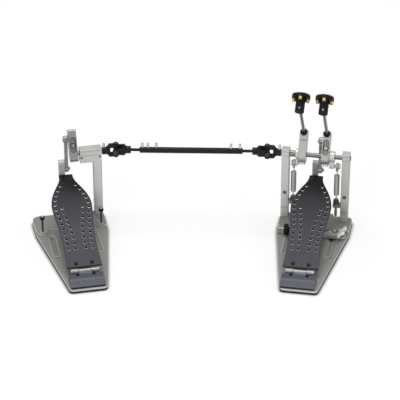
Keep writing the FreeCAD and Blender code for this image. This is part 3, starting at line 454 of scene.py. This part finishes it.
FINISHES = {
    "base_grey": blasted_metal("base_anodised", (0.276, 0.266, 0.248), 0.52, 0.15),
    "mat_rubber": black_coat("mat_rubber", (0.02, 0.02, 0.02), 0.85, 900.0, 0.4),
    # Its last value is the painted shade on faces turned to the side.
    "machined_grey": brushed_metal("post_machined", (0.655, 0.638, 0.609), 0.4, 0.5, LINES_UPRIGHT, 0.9),
    "bright_steel": plated_metal("bright_plating", (0.644, 0.638, 0.627), 0.3),
    "spring_steel": plated_metal("spring_wire", (0.483, 0.483, 0.471), 0.34),
    "board_dark": board_coat("board_anodised", (0.066, 0.069, 0.084)),
    "machined_dark": brushed_metal("axle_machined", (0.38, 0.368, 0.356), 0.36, 0.7),
    "black_steel": black_coat("shaft_black", (0.015, 0.015, 0.016), 0.42),
    "black_plastic": black_coat("head_black", (0.01, 0.01, 0.011), 0.5, 1200.0, 0.22),
    "felt": pressed_felt("beater_felt", (0.9, 0.9, 0.828)),
    "brass": brushed_metal("weight_brass", (0.9, 0.667, 0.287), 0.26, 0.85, NO_LINES),
}

# Closer finishes for some pieces, all within their slots.
HINGE_STEEL = plated_metal("hinge_steel", (0.38, 0.38, 0.374), 0.42)
LINK_STEEL = brushed_metal("link_steel", (0.38, 0.38, 0.374), 0.38, 0.6, LINES_UPRIGHT)
AXLE_STEEL = brushed_metal("axle_steel", (0.23, 0.224, 0.218), 0.3, 0.75)
WING_STEEL = plated_metal("wing_steel", (0.85, 0.845, 0.83), 0.3)
CLAMP_STEEL = brushed_metal("clamp_steel", (0.46, 0.452, 0.438), 0.4, 0.4)
RIM_STEEL = plated_metal("rim_steel", (0.5, 0.505, 0.52), 0.36)
# Black lining of the footboard holes: painted shade in the bore.
BORE_SHADE = black_coat("bore_shade", (0.004, 0.004, 0.004), 0.8)
# Dark floor of the adjusting slots as painted shade in the recess; also the dark seams.
SLOT_SHADE_AND_SEAM = brushed_metal("slot_shade_and_seam", (0.287, 0.282, 0.276), 0.42, 0.6)
# Dark rim round the adjusting slots: painted shade.
SLOT_RIM_SHADE = black_coat("slot_rim_shade", (0.034, 0.034, 0.034), 0.5)
# Pale finish of the spur seats, and of the pocket rims as a painted highlight.
PALE_SEAT_AND_RIM_HIGHLIGHT = blasted_metal("pale_seat_and_rim_highlight", (0.5, 0.486, 0.46), 0.4, 0.3)
SPUR_STEEL = black_coat("spur_steel", (0.057, 0.057, 0.057), 0.4)
NODE_FINISHES = {
    "heel_hinge_primary": HINGE_STEEL, "heel_hinge_slave": HINGE_STEEL,
    "board_hinge_primary": HINGE_STEEL, "board_hinge_slave": HINGE_STEEL,
    "link_primary": LINK_STEEL, "link_slave": LINK_STEEL, "stem_primary": LINK_STEEL,
    "spring_hook_primary": LINK_STEEL, "spring_hook_secondary": LINK_STEEL,
    "axle_primary": AXLE_STEEL, "stub_secondary": AXLE_STEEL, "axle_slave": AXLE_STEEL,
    "beater_shaft_primary": AXLE_STEEL, "beater_shaft_secondary": AXLE_STEEL,
    "spur_left": SPUR_STEEL, "spur_right": SPUR_STEEL,
    "clamp_screw": WING_STEEL, "clamp_jaw": CLAMP_STEEL,
}


def dress_solids():
    """Gives every solid the finish of its material slot, or its own closer one."""
    slots = {entry["node"]: entry["material_slot"] for entry in frame["record"]["subparts"]}
    for node, solid in frame["nodes"].items():
        solid.data.materials.clear()
        solid.data.materials.append(NODE_FINISHES.get(node, FINISHES[slots[node]]))


def side_axis(axis):
    """Unit vector square to an axis."""
    guide = np.array([1.0, 0.0, 0.0]) if abs(axis[0]) < 0.9 else np.array([0.0, 1.0, 0.0])
    side = np.cross(axis, guide)
    return side / np.linalg.norm(side)


def add_mesh(name, points, faces, slot, body, finish=None):
    """Mesh object at the origin that rides on a body, if any, and is smooth except at sharp edges."""
    mesh = bpy.data.meshes.new(name)
    mesh.from_pydata(points.tolist(), [], faces)
    mesh.materials.append(finish or FINISHES[slot])
    mesh.polygons.foreach_set("use_smooth", np.ones(len(mesh.polygons), bool))
    mesh.set_sharp_from_angle(angle=SHARP_ANGLE)
    piece = bpy.data.objects.new(name, mesh)
    bpy.context.collection.objects.link(piece)
    if body:
        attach(piece, body)
    return piece


def circle_angles(steps):
    """Even angles round a circle."""
    return np.linspace(0.0, 2 * math.pi, steps, endpoint=False)


def ring_faces(rings, around, closed=False):
    """Quads between rings of points; the last ring joins the first when closed."""
    bands = rings if closed else rings - 1
    row, column = np.meshgrid(np.arange(bands), np.arange(around), indexing="ij")
    beyond, after = (row + 1) % rings, (column + 1) % around
    quads = np.stack([row * around + column, row * around + after, beyond * around + after,
                      beyond * around + column], -1)
    return quads.reshape(-1, 4)


def capped(quads, rings, around):
    """Faces with both end rings closed by one polygon each."""
    first = np.arange(around)[::-1].tolist()
    last = (np.arange(around) + (rings - 1) * around).tolist()
    return quads.tolist() + [first, last]


def turned_points(profile, place, axis, power=2.0, lobes=0, depth=0.0, around=ROUND_STEPS, first=None,
                  reach=0.0):
    """Point(t, u) = place + along(t) axis + r(t) q(u) side(u) + reach sign(cos u) first, where side(u)
    goes round the axis from first, q(u) is 1 on a circle, rises to the corners of a rounded square as
    the power grows, and dips by depth between lobes; reach draws a circle out into a slot."""
    profile = np.asarray(profile, float)
    angle = circle_angles(around)
    cosine, sine = np.cos(angle), np.sin(angle)
    swell = (np.abs(cosine) ** power + np.abs(sine) ** power) ** (-1.0 / power)
    swell = swell * (1.0 - depth * (0.5 - 0.5 * np.cos(lobes * angle)))
    axis = np.asarray(axis, float)
    first = side_axis(axis) if first is None else first
    second = np.cross(axis, first)
    side = (cosine * swell)[:, None] * first + (sine * swell)[:, None] * second
    drawn = (reach * np.sign(np.round(cosine, 6)))[:, None] * first
    points = (np.asarray(place)[None, None] + profile[:, 1, None, None] * axis
              + profile[:, 0, None, None] * side[None] + drawn[None])
    return points.reshape(-1, 3)


def turned(name, profile, place, axis, slot, body, finish=None, hollow=False, **shape):
    """Turned piece from (radius, along) pairs in order along its axis: its ends are closed, or when
    hollow the pairs are a loop and the piece is a ring."""
    around = shape.get("around", ROUND_STEPS)
    points = turned_points(profile, place, axis, **shape)
    quads = ring_faces(len(profile), around, closed=hollow)
    faces = quads.tolist() if hollow else capped(quads, len(profile), around)
    return add_mesh(name, points, faces, slot, body, finish)


def rounded_stub(radius, length, edge, steps=5):
    """Profile of a stub from 0 to length whose far edge is rounded."""
    bend = np.linspace(0.0, math.pi / 2, steps)
    corner = np.stack([radius - edge + edge * np.cos(bend), length - edge + edge * np.sin(bend)], -1)
    return np.vstack([[radius, 0.0], corner])


def socket_head(radius, height):
    """Profile of a cap screw whose top has a round socket."""
    outer = rounded_stub(radius, height, radius * HEAD_EDGE)
    inner = np.array([[radius * SOCKET_MOUTH, height], [radius * SOCKET_FLOOR, height * SOCKET_FLOOR]])
    return np.vstack([outer, inner])


def stub(name, size, place, axis, slot, body, finish=None, **shape):
    """Turned stub of a radius, length and rounded edge."""
    turned(name, rounded_stub(*size), place, axis, slot, body, finish, **shape)


def cap_screw(name, size, place, axis, slot, body, finish=None):
    """Turned cap screw of a radius and height."""
    turned(name, socket_head(*size), place, axis, slot, body, finish)


def slave_point(x, y, z):
    """Place in the slave pedal's own frame, carried to the shared frame."""
    across = np.array([math.cos(SLAVE_YAW), math.sin(SLAVE_YAW), 0.0])
    ahead = np.array([-math.sin(SLAVE_YAW), math.cos(SLAVE_YAW), 0.0])
    origin = SLAVE_CROSS - across * SLAVE_CROSS_X
    return np.array([origin[0], origin[1], 0.0]) + across * x + ahead * y + UP * z


def pedal_point(pedal, x, y, z):
    """Place in a pedal's own frame, carried to the shared frame."""
    return slave_point(x, y, z) if pedal == "slave" else np.array([x, y, z])


def turned_way(pedal, way):
    """Direction in a pedal's own frame, carried to the shared frame."""
    return pedal_point(pedal, *way) - pedal_point(pedal, 0.0, 0.0, 0.0)


def board_point(pedal, x, along, over):
    """Place on a footboard, measured along and over its tilted slab from the hinge."""
    y = HINGE[1] + along * math.cos(TILT) - over * math.sin(TILT)
    z = HINGE[2] + along * math.sin(TILT) + over * math.cos(TILT)
    return pedal_point(pedal, x, y, z)


def beater_point(name, reach, forward):
    """Place on a beater, measured out along its rod from the ball and forward to the drum."""
    return (np.array([ROTOR_MIDDLES[name], BALL_Y, BALL_Z]) + BEATER_AXIS * reach
            + STRIKE_AXIS * forward)


def rotor_way(pedal):
    """Unit vectors up a rotor and out of its drummer's side."""
    return (turned_way(pedal, (0.0, math.sin(LEAN), math.cos(LEAN))),
            turned_way(pedal, (0.0, -math.cos(LEAN), math.sin(LEAN))))


def coil_path():
    """r(u) runs from the axis out to the coil radius and back over the end turns; the angle is 2 pi u;
    z(u) rises by the pitch per turn, and faster on the end turns."""
    turns = COIL_TURNS + 2 * COIL_LEAD
    u = np.linspace(0.0, turns, int(turns * COIL_STEPS) + 1)
    height = SPRING_TOP_Z - SPRING_FOOT_Z
    low = (height - COIL_TURNS * COIL_PITCH) / 2
    from_end = np.minimum(u, turns - u)
    end = np.clip(from_end / COIL_LEAD, 0.0, 1.0)
    radius = COIL_R * end * end * (3 - 2 * end)
    slope = COIL_PITCH * COIL_LEAD
    ramp = (low * (3 * end ** 2 - 2 * end ** 3) + COIL_RISE * low * (end ** 3 - 2 * end ** 2 + end)
            + slope * (end ** 3 - end ** 2))
    wound = COIL_PITCH * np.maximum(from_end - COIL_LEAD, 0.0)
    z = np.where(u <= turns / 2, ramp + wound, height - ramp - wound)
    angle = 2 * math.pi * u
    radial = np.stack([np.cos(angle), np.sin(angle), np.zeros_like(u)], -1)
    return radial * radius[:, None] + UP * z[:, None], radial


def wound_spring(name, x):
    """Round wire carried along the coil path; each ring stands square to the path."""
    path, radial = coil_path()
    way = np.gradient(path, axis=0)
    way /= np.linalg.norm(way, axis=1)[:, None]
    first = radial - (radial * way).sum(1)[:, None] * way
    first /= np.linalg.norm(first, axis=1)[:, None]
    second = np.cross(way, first)
    angle = circle_angles(WIRE_SIDES)
    ring = np.cos(angle)[None, :, None] * first[:, None] + np.sin(angle)[None, :, None] * second[:, None]
    place = np.array([x, SPRING_Y, SPRING_FOOT_Z])
    points = (place + path[:, None] + WIRE_R * ring).reshape(-1, 3)
    faces = capped(ring_faces(len(path), WIRE_SIDES), len(path), WIRE_SIDES)
    piece = add_mesh("coil_" + name, points, faces, "spring_steel", None)
    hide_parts("spring_" + name)
    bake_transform(piece)


def felt_disc(name):
    """Pressed felt puck: flat back, soft rounded rim and a slightly crowned striking face."""
    place = beater_point(name, BEATER_REACH, FELT_START)
    bend = np.linspace(0.0, math.pi / 2, FELT_RIM_STEPS)
    rim_z = FELT_T - FELT_RIM - FELT_RIM_DOWN
    edge = np.stack([FELT_R - FELT_RIM + FELT_RIM * np.cos(bend), rim_z + FELT_RIM * np.sin(bend)], -1)
    back = np.array(FELT_BACK) + (FELT_R, 0.0)
    crown = np.array(FELT_CROWN) + (0.0, FELT_T)
    piece = turned("felt_" + name, np.vstack([back, edge, crown]), place, STRIKE_AXIS, "felt",
                   name + "_beater", around=FELT_STEPS)
    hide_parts("beater_felt_" + name)


def hole_rings(name, pedal, loop, finish):
    """Point(h, t, u) = hole(h) + over(t) normal + r(t) (cos u across + sin u along): the same ring in
    every hole of a footboard, as one mesh, from (radius, over) pairs in millimetres."""
    loop = np.array(loop) * MM
    across = turned_way(pedal, (1.0, 0.0, 0.0))
    along = turned_way(pedal, (0.0, math.cos(TILT), math.sin(TILT)))
    normal = np.cross(across, along)
    places = np.array([(side * half, u) for u, half in HOLES for side in (-1.0, 1.0)]) * MM
    hinge = pedal_point(pedal, *HINGE) + normal * BOARD_TOP
    middles = hinge + places[:, :1] * across + places[:, 1:] * along
    angle = circle_angles(HOLE_STEPS)
    side = np.cos(angle)[:, None] * across + np.sin(angle)[:, None] * along
    ring = loop[:, 1, None, None] * normal + loop[:, 0, None, None] * side[None]
    points = (middles[:, None, None] + ring[None]).reshape(-1, 3)
    one = ring_faces(len(loop), HOLE_STEPS, closed=True)
    starts = np.arange(len(middles)) * len(loop) * HOLE_STEPS
    faces = (one[None] + starts[:, None, None]).reshape(-1, 4)
    add_mesh(f"{name}_{pedal}", points, faces.tolist(), "bright_steel", pedal + "_footboard", finish)


def board_holes():
    """Thin bright rim of every hole in both footboards, and a black lining in its bore as painted shade.
    """
    rim = [[3.0, -0.3], [3.6, -0.05], [3.4, 0.18], [3.15, 0.36], [2.98, 0.38], [2.9, 0.2]]
    bore = [[2.9, -4.5], [2.86, -0.3], [2.97, 0.36], [2.88, 0.33], [2.72, -0.3], [2.7, -4.5]]
    for pedal in PEDALS:
        hole_rings("hole_rims", pedal, rim, RIM_STEEL)
        hole_rings("hole_bores", pedal, bore, BORE_SHADE)


def shaft_screws():
    """Square-headed set screws along the top of the drive tube and on the two axle yokes."""
    head = np.array([[2.1, 0.0], [2.1, 3.0], [2.8, 3.3], [2.8, 9.6], [2.4, 10.4]]) * MM
    for index, along in enumerate(TUBE_SCREWS_ALONG):
        place = SLAVE_CROSS + SHAFT * along + UP * (TUBE_R - SUNK)
        turned(f"tube_screw_{index}", head, place, UP, "bright_steel", "drive_tube", power=SHARP_SQUARE)
    slave_hub = SLAVE_CROSS - turned_way("slave", (YOKE_SCREW_BACK, 0.0, 0.0))
    primary_hub = PRIMARY_CROSS - LEFT * YOKE_SCREW_BACK
    hubs = {"yoke_screw_slave": (slave_hub, "slave_axle"),
            "yoke_screw_primary": (primary_hub, "secondary_axle")}
    for name, (place, body) in hubs.items():
        turned(name, head, place + UP * (YOKE_HUB_R - SUNK_DEEP), UP, "bright_steel", body,
               power=SHARP_SQUARE)


def joint_caps():
    """Dark cap with a raised rim over each end of the cross pins, on the bosses of the four yokes."""
    cap = np.array([[4.9, -0.4], [4.9, 0.4], [4.5, 0.8], [3.7, 0.8], [3.4, 0.4], [1.5, 0.5]]) * MM
    across = np.cross(UP, SHAFT)
    joints = {"slave": (SLAVE_CROSS, "drive_tube", "slave_axle"),
              "primary": (PRIMARY_CROSS, "drive_rod", "secondary_axle")}
    for name, (middle, shaft_body, axle_body) in joints.items():
        ends = ((across, shaft_body), (-across, shaft_body), (UP, axle_body), (-UP, axle_body))
        for index, (way, body) in enumerate(ends):
            place = middle + way * YOKE_BOSS_OUT
            turned(f"joint_cap_{name}_{index}", cap, place, way, "black_steel", body, SPUR_STEEL)


def board_screws():
    """Black cap screws: two at the heel end and two on the neck of each footboard, two on each heel
    plate."""
    for pedal in PEDALS:
        normal = turned_way(pedal, (0.0, -math.sin(TILT), math.cos(TILT)))
        screws = {"heel_a": (-HEEL_END_X, HEEL_END_ALONG, HEEL_END_SCREW),
                  "heel_b": (HEEL_END_X, HEEL_END_ALONG, HEEL_END_SCREW),
                  "neck_a": (NECK_X[pedal], NECK_ALONG[0], SMALL_SCREW),
                  "neck_b": (NECK_X[pedal], NECK_ALONG[1], SMALL_SCREW)}
        for name, (x, along, size) in screws.items():
            place = board_point(pedal, x, along, BOARD_TOP - SUNK)
            cap_screw(f"board_screw_{pedal}_{name}", size, place, normal, "black_plastic",
                      pedal + "_footboard")
        for side in (-1, 1):
            place = pedal_point(pedal, side * HEEL_SCREW_X, HEEL_SCREW_Y, HEEL_SCREW_Z)
            cap_screw(f"heel_screw_{pedal}_{side + 1}", SMALL_SCREW, place, UP, "black_plastic",
                      pedal + "_base")


def post_screws():
    """Dark screws on the slave bearing housing, and a sunk screw and a seam low on each primary post."""
    front = turned_way("slave", FRONT)
    for index, x in enumerate(HOUSING_SCREWS_X):
        place = slave_point(x, POST_FRONT_Y + SUNK_LITTLE, HOUSING_SCREW_Z)
        cap_screw(f"housing_screw_{index}", HOUSING_SCREW, place, front, "black_plastic", "slave_base")
    for index, x in enumerate((-POST_X, POST_X)):
        cap_screw(f"post_screw_{index}", POST_SCREW, (x, POST_FRONT_Y + SUNK, POST_SCREW_Z), FRONT,
                  "machined_dark", "primary_base", AXLE_STEEL)
        stub(f"post_socket_{index}", POST_SOCKET, (x, POST_FRONT_Y + SUNK_LITTLE, POST_SCREW_Z), FRONT,
             "black_plastic", "primary_base", SPUR_STEEL)
        seam = (x - POST_SEAM[1] / 2, POST_FRONT_Y + SUNK_LEAST, POST_SEAM_Z)
        stub(f"post_seam_{index}", POST_SEAM, seam, -LEFT, "machined_dark", "primary_base", SLOT_SHADE_AND_SEAM,
             power=SHARP_SQUARE)


def slot_trim():
    """Bolt washer of each adjusting slot, and a dark floor and rim in the slot as painted shade."""
    floor = np.array([[5.88, 0.0], [5.88, 0.8], [5.2, 0.9]]) * MM
    rim = np.array([[6.0, 3.6], [6.35, 5.0], [6.3, 5.25], [5.95, 5.3], [5.75, 5.1], [5.75, 3.6]]) * MM
    for pedal, x in (("primary", ROTOR_MIDDLES["primary"]), ("slave", CAM_MIDDLE)):
        up, face = rotor_way(pedal)
        body = pedal + "_axle"
        axle = pedal_point(pedal, x, 0.0, AXLE_Z)
        washer = axle + up * SLOT_WASHER_UP + face * (ROTOR_HALF - SLOT_WASHER_DEPTH)
        stub("slot_washer_" + pedal, SLOT_WASHER, washer, face, "black_plastic", body)
        middle = axle + up * SLOT_UP + face * (ROTOR_HALF - SLOT_DEPTH)
        turned("slot_floor_" + pedal, floor, middle, face, "machined_dark", body, SLOT_SHADE_AND_SEAM,
               first=up, reach=SLOT_REACH)
        turned("slot_rim_" + pedal, rim, middle, face, "machined_dark", body, SLOT_RIM_SHADE, hollow=True,
               first=up, reach=SLOT_REACH)


def rotor_trim():
    """Two pale clamp studs below each rotor block, and a dark seam across the secondary one."""
    up, face = rotor_way("primary")
    seam = (np.array([ROTOR_MIDDLES["secondary"], 0.0, AXLE_Z]) + LEFT * ROTOR_SEAM[1] / 2
            + up * ROTOR_SEAM_UP + face * (ROTOR_HALF - ROTOR_SEAM_DEPTH))
    stub("rotor_seam", ROTOR_SEAM, seam, -LEFT, "machined_dark", "secondary_axle", SLOT_SHADE_AND_SEAM,
         power=SHARP_SQUARE)
    for name, middle in ROTOR_MIDDLES.items():
        for index, x in enumerate((middle - ROTOR_STUD_X, middle + ROTOR_STUD_X)):
            place = np.array([x, 0.0, AXLE_Z]) - up * (ROTOR_DOWN - SUNK_DEEP)
            stub(f"rotor_stud_{name}_{index}", ROTOR_STUD, place, -up, "machined_grey", name + "_axle")


def ball_sleeves():
    """Black sleeve round each beater rod where it leaves the ball."""
    profile = np.array([[7.2, 1.0], [7.7, 3.0], [7.4, 5.5], [6.2, 8.0], [4.4, 9.2]]) * MM
    for name in ROTOR_MIDDLES:
        turned("ball_sleeve_" + name, profile, beater_point(name, 0.0, 0.0), BEATER_AXIS,
               "black_plastic", name + "_axle")


def heel_shade_strips():
    """Black strip of painted shadow in front of each heel plate's foot."""
    for pedal in PEDALS:
        across = turned_way(pedal, (1.0, 0.0, 0.0))
        place = pedal_point(pedal, -HEEL_SHADE_STRIP[1] / 2, HEEL_SHADE_STRIP_Y, PLATE_TOP + HEEL_SHADE_STRIP_UP)
        stub("heel_shade_strip_" + pedal, HEEL_SHADE_STRIP, place, across, "mat_rubber", pedal + "_base",
             power=SOFT_SQUARE)


def hinge_gaps():
    """Dark line between the hinge's knuckles."""
    loop = np.array([[4.3, -0.45], [4.62, -0.45], [4.62, 0.45], [4.3, 0.45]]) * MM
    for pedal in PEDALS:
        across = turned_way(pedal, (1.0, 0.0, 0.0))
        for index, x in enumerate((-HINGE_GAP_X, HINGE_GAP_X)):
            turned(f"hinge_gap_{pedal}_{index}", loop, pedal_point(pedal, x, HINGE[1], HINGE[2]), across,
                   "black_plastic", pedal + "_base", hollow=True)


def pocket_rims():
    """Bright bead round each long pocket of the base plates: a painted highlight on the pocket's edge.
    """
    loop = np.array([[6.9, -0.3], [8.2, -0.3], [8.2, 0.05], [7.9, 0.2], [7.2, 0.2], [6.9, 0.05]]) * MM
    for pedal in PEDALS:
        ahead = turned_way(pedal, (0.0, 1.0, 0.0))
        for index, x in enumerate((-POCKET_X, POCKET_X)):
            place = pedal_point(pedal, x, POCKET_Y, PLATE_TOP)
            turned(f"pocket_rim_{pedal}_{index}", loop, place, UP, "base_grey", pedal + "_base",
                   PALE_SEAT_AND_RIM_HIGHLIGHT, hollow=True, first=ahead, reach=POCKET_REACH)


def anchor_nuts():
    """Black knurled nuts round the spring tension rods."""
    profile = np.array([[4.6, 0.0], [6.2, 0.6], [6.3, 8.4], [4.8, 9.1]]) * MM
    for name, x in SPRINGS.items():
        turned("tension_nut_" + name, profile, (x, SPRING_Y, NUT_FOOT_Z), UP, "black_plastic",
               "primary_base", lobes=24, depth=0.05, around=96)


def spur_knobs():
    """Black knurled ring and pale centre on each spur, and a pale seat round its foot."""
    ring = np.vstack([SPUR_RING_FOOT, rounded_stub(*SPUR_RING)[1:]])
    seat = np.array([[3.0, -0.2], [5.9, -0.2], [5.9, 0.5], [5.5, 0.9], [3.5, 0.9], [3.0, 0.5]]) * MM
    for name, (x, y, z) in SPURS.items():
        turned(name + "_seat", seat, slave_point(x, y, SPUR_BOSS_TOP), UP, "base_grey", "slave_base",
               PALE_SEAT_AND_RIM_HIGHLIGHT, hollow=True)
        place = slave_point(x, y, z)
        turned(name + "_ring", ring, place, UP, "black_plastic", name, lobes=16, depth=0.06, around=64)
        stub(name + "_pip", SPUR_PIP, place, UP, "bright_steel", name)


def hub_screws():
    """Small set screw on the drummer's side of each beater hub."""
    for name in ROTOR_MIDDLES:
        place = beater_point(name, BEATER_REACH + HUB_R - SUNK_DEEP, -HUB_SCREW_BACK)
        cap_screw("hub_screw_" + name, HUB_SCREW, place, BEATER_AXIS, "machined_grey", name + "_beater")


def side_knob():
    """Black knurled wheel on a short shaft with a pale tip, in a bracket at the left of the primary
    base."""
    wheel = np.array([[9.6, 0.0], [11.4, 0.8], [11.5, 8.2], [9.8, 9.0]]) * MM
    tip = np.array([[4.4, 0.0], [4.8, 0.5], [4.8, 2.2], [2.6, 2.8], [2.6, 5.0], [4.9, 5.6], [4.9, 7.6],
                    [3.4, 8.8]]) * MM
    turned("side_wheel", wheel, SIDE_END + LEFT * SIDE_WHEEL_OUT, LEFT, "black_plastic", "primary_base",
           lobes=32, depth=0.05, around=128)
    stub("side_shaft", SIDE_SHAFT, SIDE_END, LEFT, "machined_dark", "primary_base")
    turned("side_tip", tip, SIDE_END + LEFT * SIDE_TIP_OUT, LEFT, "machined_grey", "primary_base",
           LINK_STEEL)
    stub("side_bracket", SIDE_BRACKET, (SIDE_END[0], SIDE_END[1], PLATE_TOP - SUNK_LITTLE), UP,
         "black_steel", "primary_base", power=SHARP_SQUARE)


def clamp_trim():
    """Black pad below the clamp's saddle, and the washer, bolts and pale bar on top of it."""
    way = SADDLE_BAR_WAY / np.linalg.norm(SADDLE_BAR_WAY)
    bar_end = SADDLE_BAR_MIDDLE - way * SADDLE_BAR[1] / 2
    stub("clamp_pad", CLAMP_PAD, CLAMP_PAD_AT, UP, "mat_rubber", "primary_base")
    stub("saddle_washer", SADDLE_WASHER, SADDLE_WASHER_AT, UP, "black_plastic", "clamp_jaw")
    stub("saddle_bolt", SADDLE_BOLT, SADDLE_BOLT_AT, UP, "bright_steel", "clamp_jaw", WING_STEEL)
    stub("saddle_bar", SADDLE_BAR, bar_end, way, "bright_steel", "clamp_jaw", WING_STEEL,
         power=SOFT_SQUARE)
    stub("arm_bolt", ARM_BOLT, ARM_BOLT_AT, UP, "bright_steel", "clamp_jaw", power=SQUARE)


def build_floor():
    """Pale floor with a soft shadow, deepest where the pedals stand, that reads white elsewhere."""
    mesh = bpy.data.meshes.new("floor")
    half = FLOOR_HALF
    corners = [(-half, -half, 0), (half, -half, 0), (half, half, 0), (-half, half, 0)]
    mesh.from_pydata(corners, [], [(0, 1, 2, 3)])
    finish = Finish("studio_floor")
    flags = [finish.add("ShaderNodeLightPath", out=flag)
             for flag in ("Is Camera Ray", "Is Glossy Ray", "Is Transmission Ray")]
    seen = finish.clamped(flags[0] + flags[1] + flags[2])
    paper = finish.add("ShaderNodeBsdfDiffuse", sockets={"Color": PAPER})
    # Ambient occlusion darkens the floor's glow near the pedals: a painted contact shadow.
    open_floor = finish.add("ShaderNodeAmbientOcclusion", {"samples": CONTACT_SAMPLES},
                            {"Distance": CONTACT_REACH}, out="AO")
    white = finish.between(open_floor * open_floor * open_floor, (0.0, 0.0, 0.0), (1.0, 1.0, 1.0))
    glow = finish.add("ShaderNodeEmission", sockets={"Color": white, "Strength": 1.0})
    mixed = finish.add("ShaderNodeMixShader", sockets={0: seen * FLOOR_GLOW, 1: paper, 2: glow})
    finish.add("ShaderNodeOutputMaterial", sockets={"Surface": mixed})
    mesh.materials.append(finish.material)
    floor = bpy.data.objects.new("floor", mesh)
    bpy.context.collection.objects.link(floor)


def build_world():
    """Studio surround: pale on the drummer's side, dimmer behind the pedals."""
    world = bpy.data.worlds.new("studio")
    bpy.context.scene.world = world
    world.use_nodes = True
    nodes = Nodes(world.node_tree)
    way = nodes.add("ShaderNodeTexCoord", out="Generated")
    behind = nodes.add("ShaderNodeSeparateXYZ", sockets={0: way}, out="Y")
    dim = nodes.clamped(behind * WORLD_FALL + 0.5)
    colour = nodes.between(dim, WORLD_NEAR, WORLD_FAR)
    light = nodes.add("ShaderNodeBackground", sockets={"Color": colour, "Strength": 1.0})
    nodes.add("ShaderNodeOutputWorld", sockets={"Surface": light})


def point_at(thing, place, aim):
    """Sets a lamp or camera at a place, looking at another."""
    thing.location = place
    thing.rotation_euler = (Vector(aim) - Vector(place)).to_track_quat("-Z", "Y").to_euler()


def build_lights():
    """Area lamps: a broad one overhead, and two weak ones in front and at the right."""
    for name, (place, aim, size, power) in LAMPS.items():
        light = bpy.data.lights.new(name, "AREA")
        light.shape = "RECTANGLE"
        light.size, light.size_y = size
        light.energy = power
        lamp = bpy.data.objects.new(name, light)
        bpy.context.collection.objects.link(lamp)
        point_at(lamp, place, aim)


def build_camera():
    """Camera at its azimuth, elevation and distance from the target."""
    camera = bpy.data.cameras.new("camera")
    camera.lens = CAMERA_LENS
    camera.sensor_width = CAMERA_SENSOR
    camera.clip_end = CAMERA_FAR
    viewer = bpy.data.objects.new("camera", camera)
    bpy.context.collection.objects.link(viewer)
    turn, rise = math.radians(CAMERA_AZIMUTH), math.radians(CAMERA_ELEVATION)
    level = math.cos(rise)
    offset = np.array([level * math.sin(turn), -level * math.cos(turn), math.sin(rise)])
    point_at(viewer, tuple(np.array(CAMERA_TARGET) + CAMERA_DISTANCE * offset), CAMERA_TARGET)
    bpy.context.scene.camera = viewer


bpy.context.scene.view_settings.view_transform = "Standard"
dress_solids()
for spring_name, spring_x in SPRINGS.items():
    wound_spring(spring_name, spring_x)
for beater_name in ROTOR_MIDDLES:
    felt_disc(beater_name)
board_holes()
shaft_screws()
joint_caps()
board_screws()
post_screws()
slot_trim()
rotor_trim()
ball_sleeves()
heel_shade_strips()
hinge_gaps()
pocket_rims()
anchor_nuts()
spur_knobs()
hub_screws()
side_knob()
clamp_trim()
build_floor()
build_world()
build_lights()
build_camera()
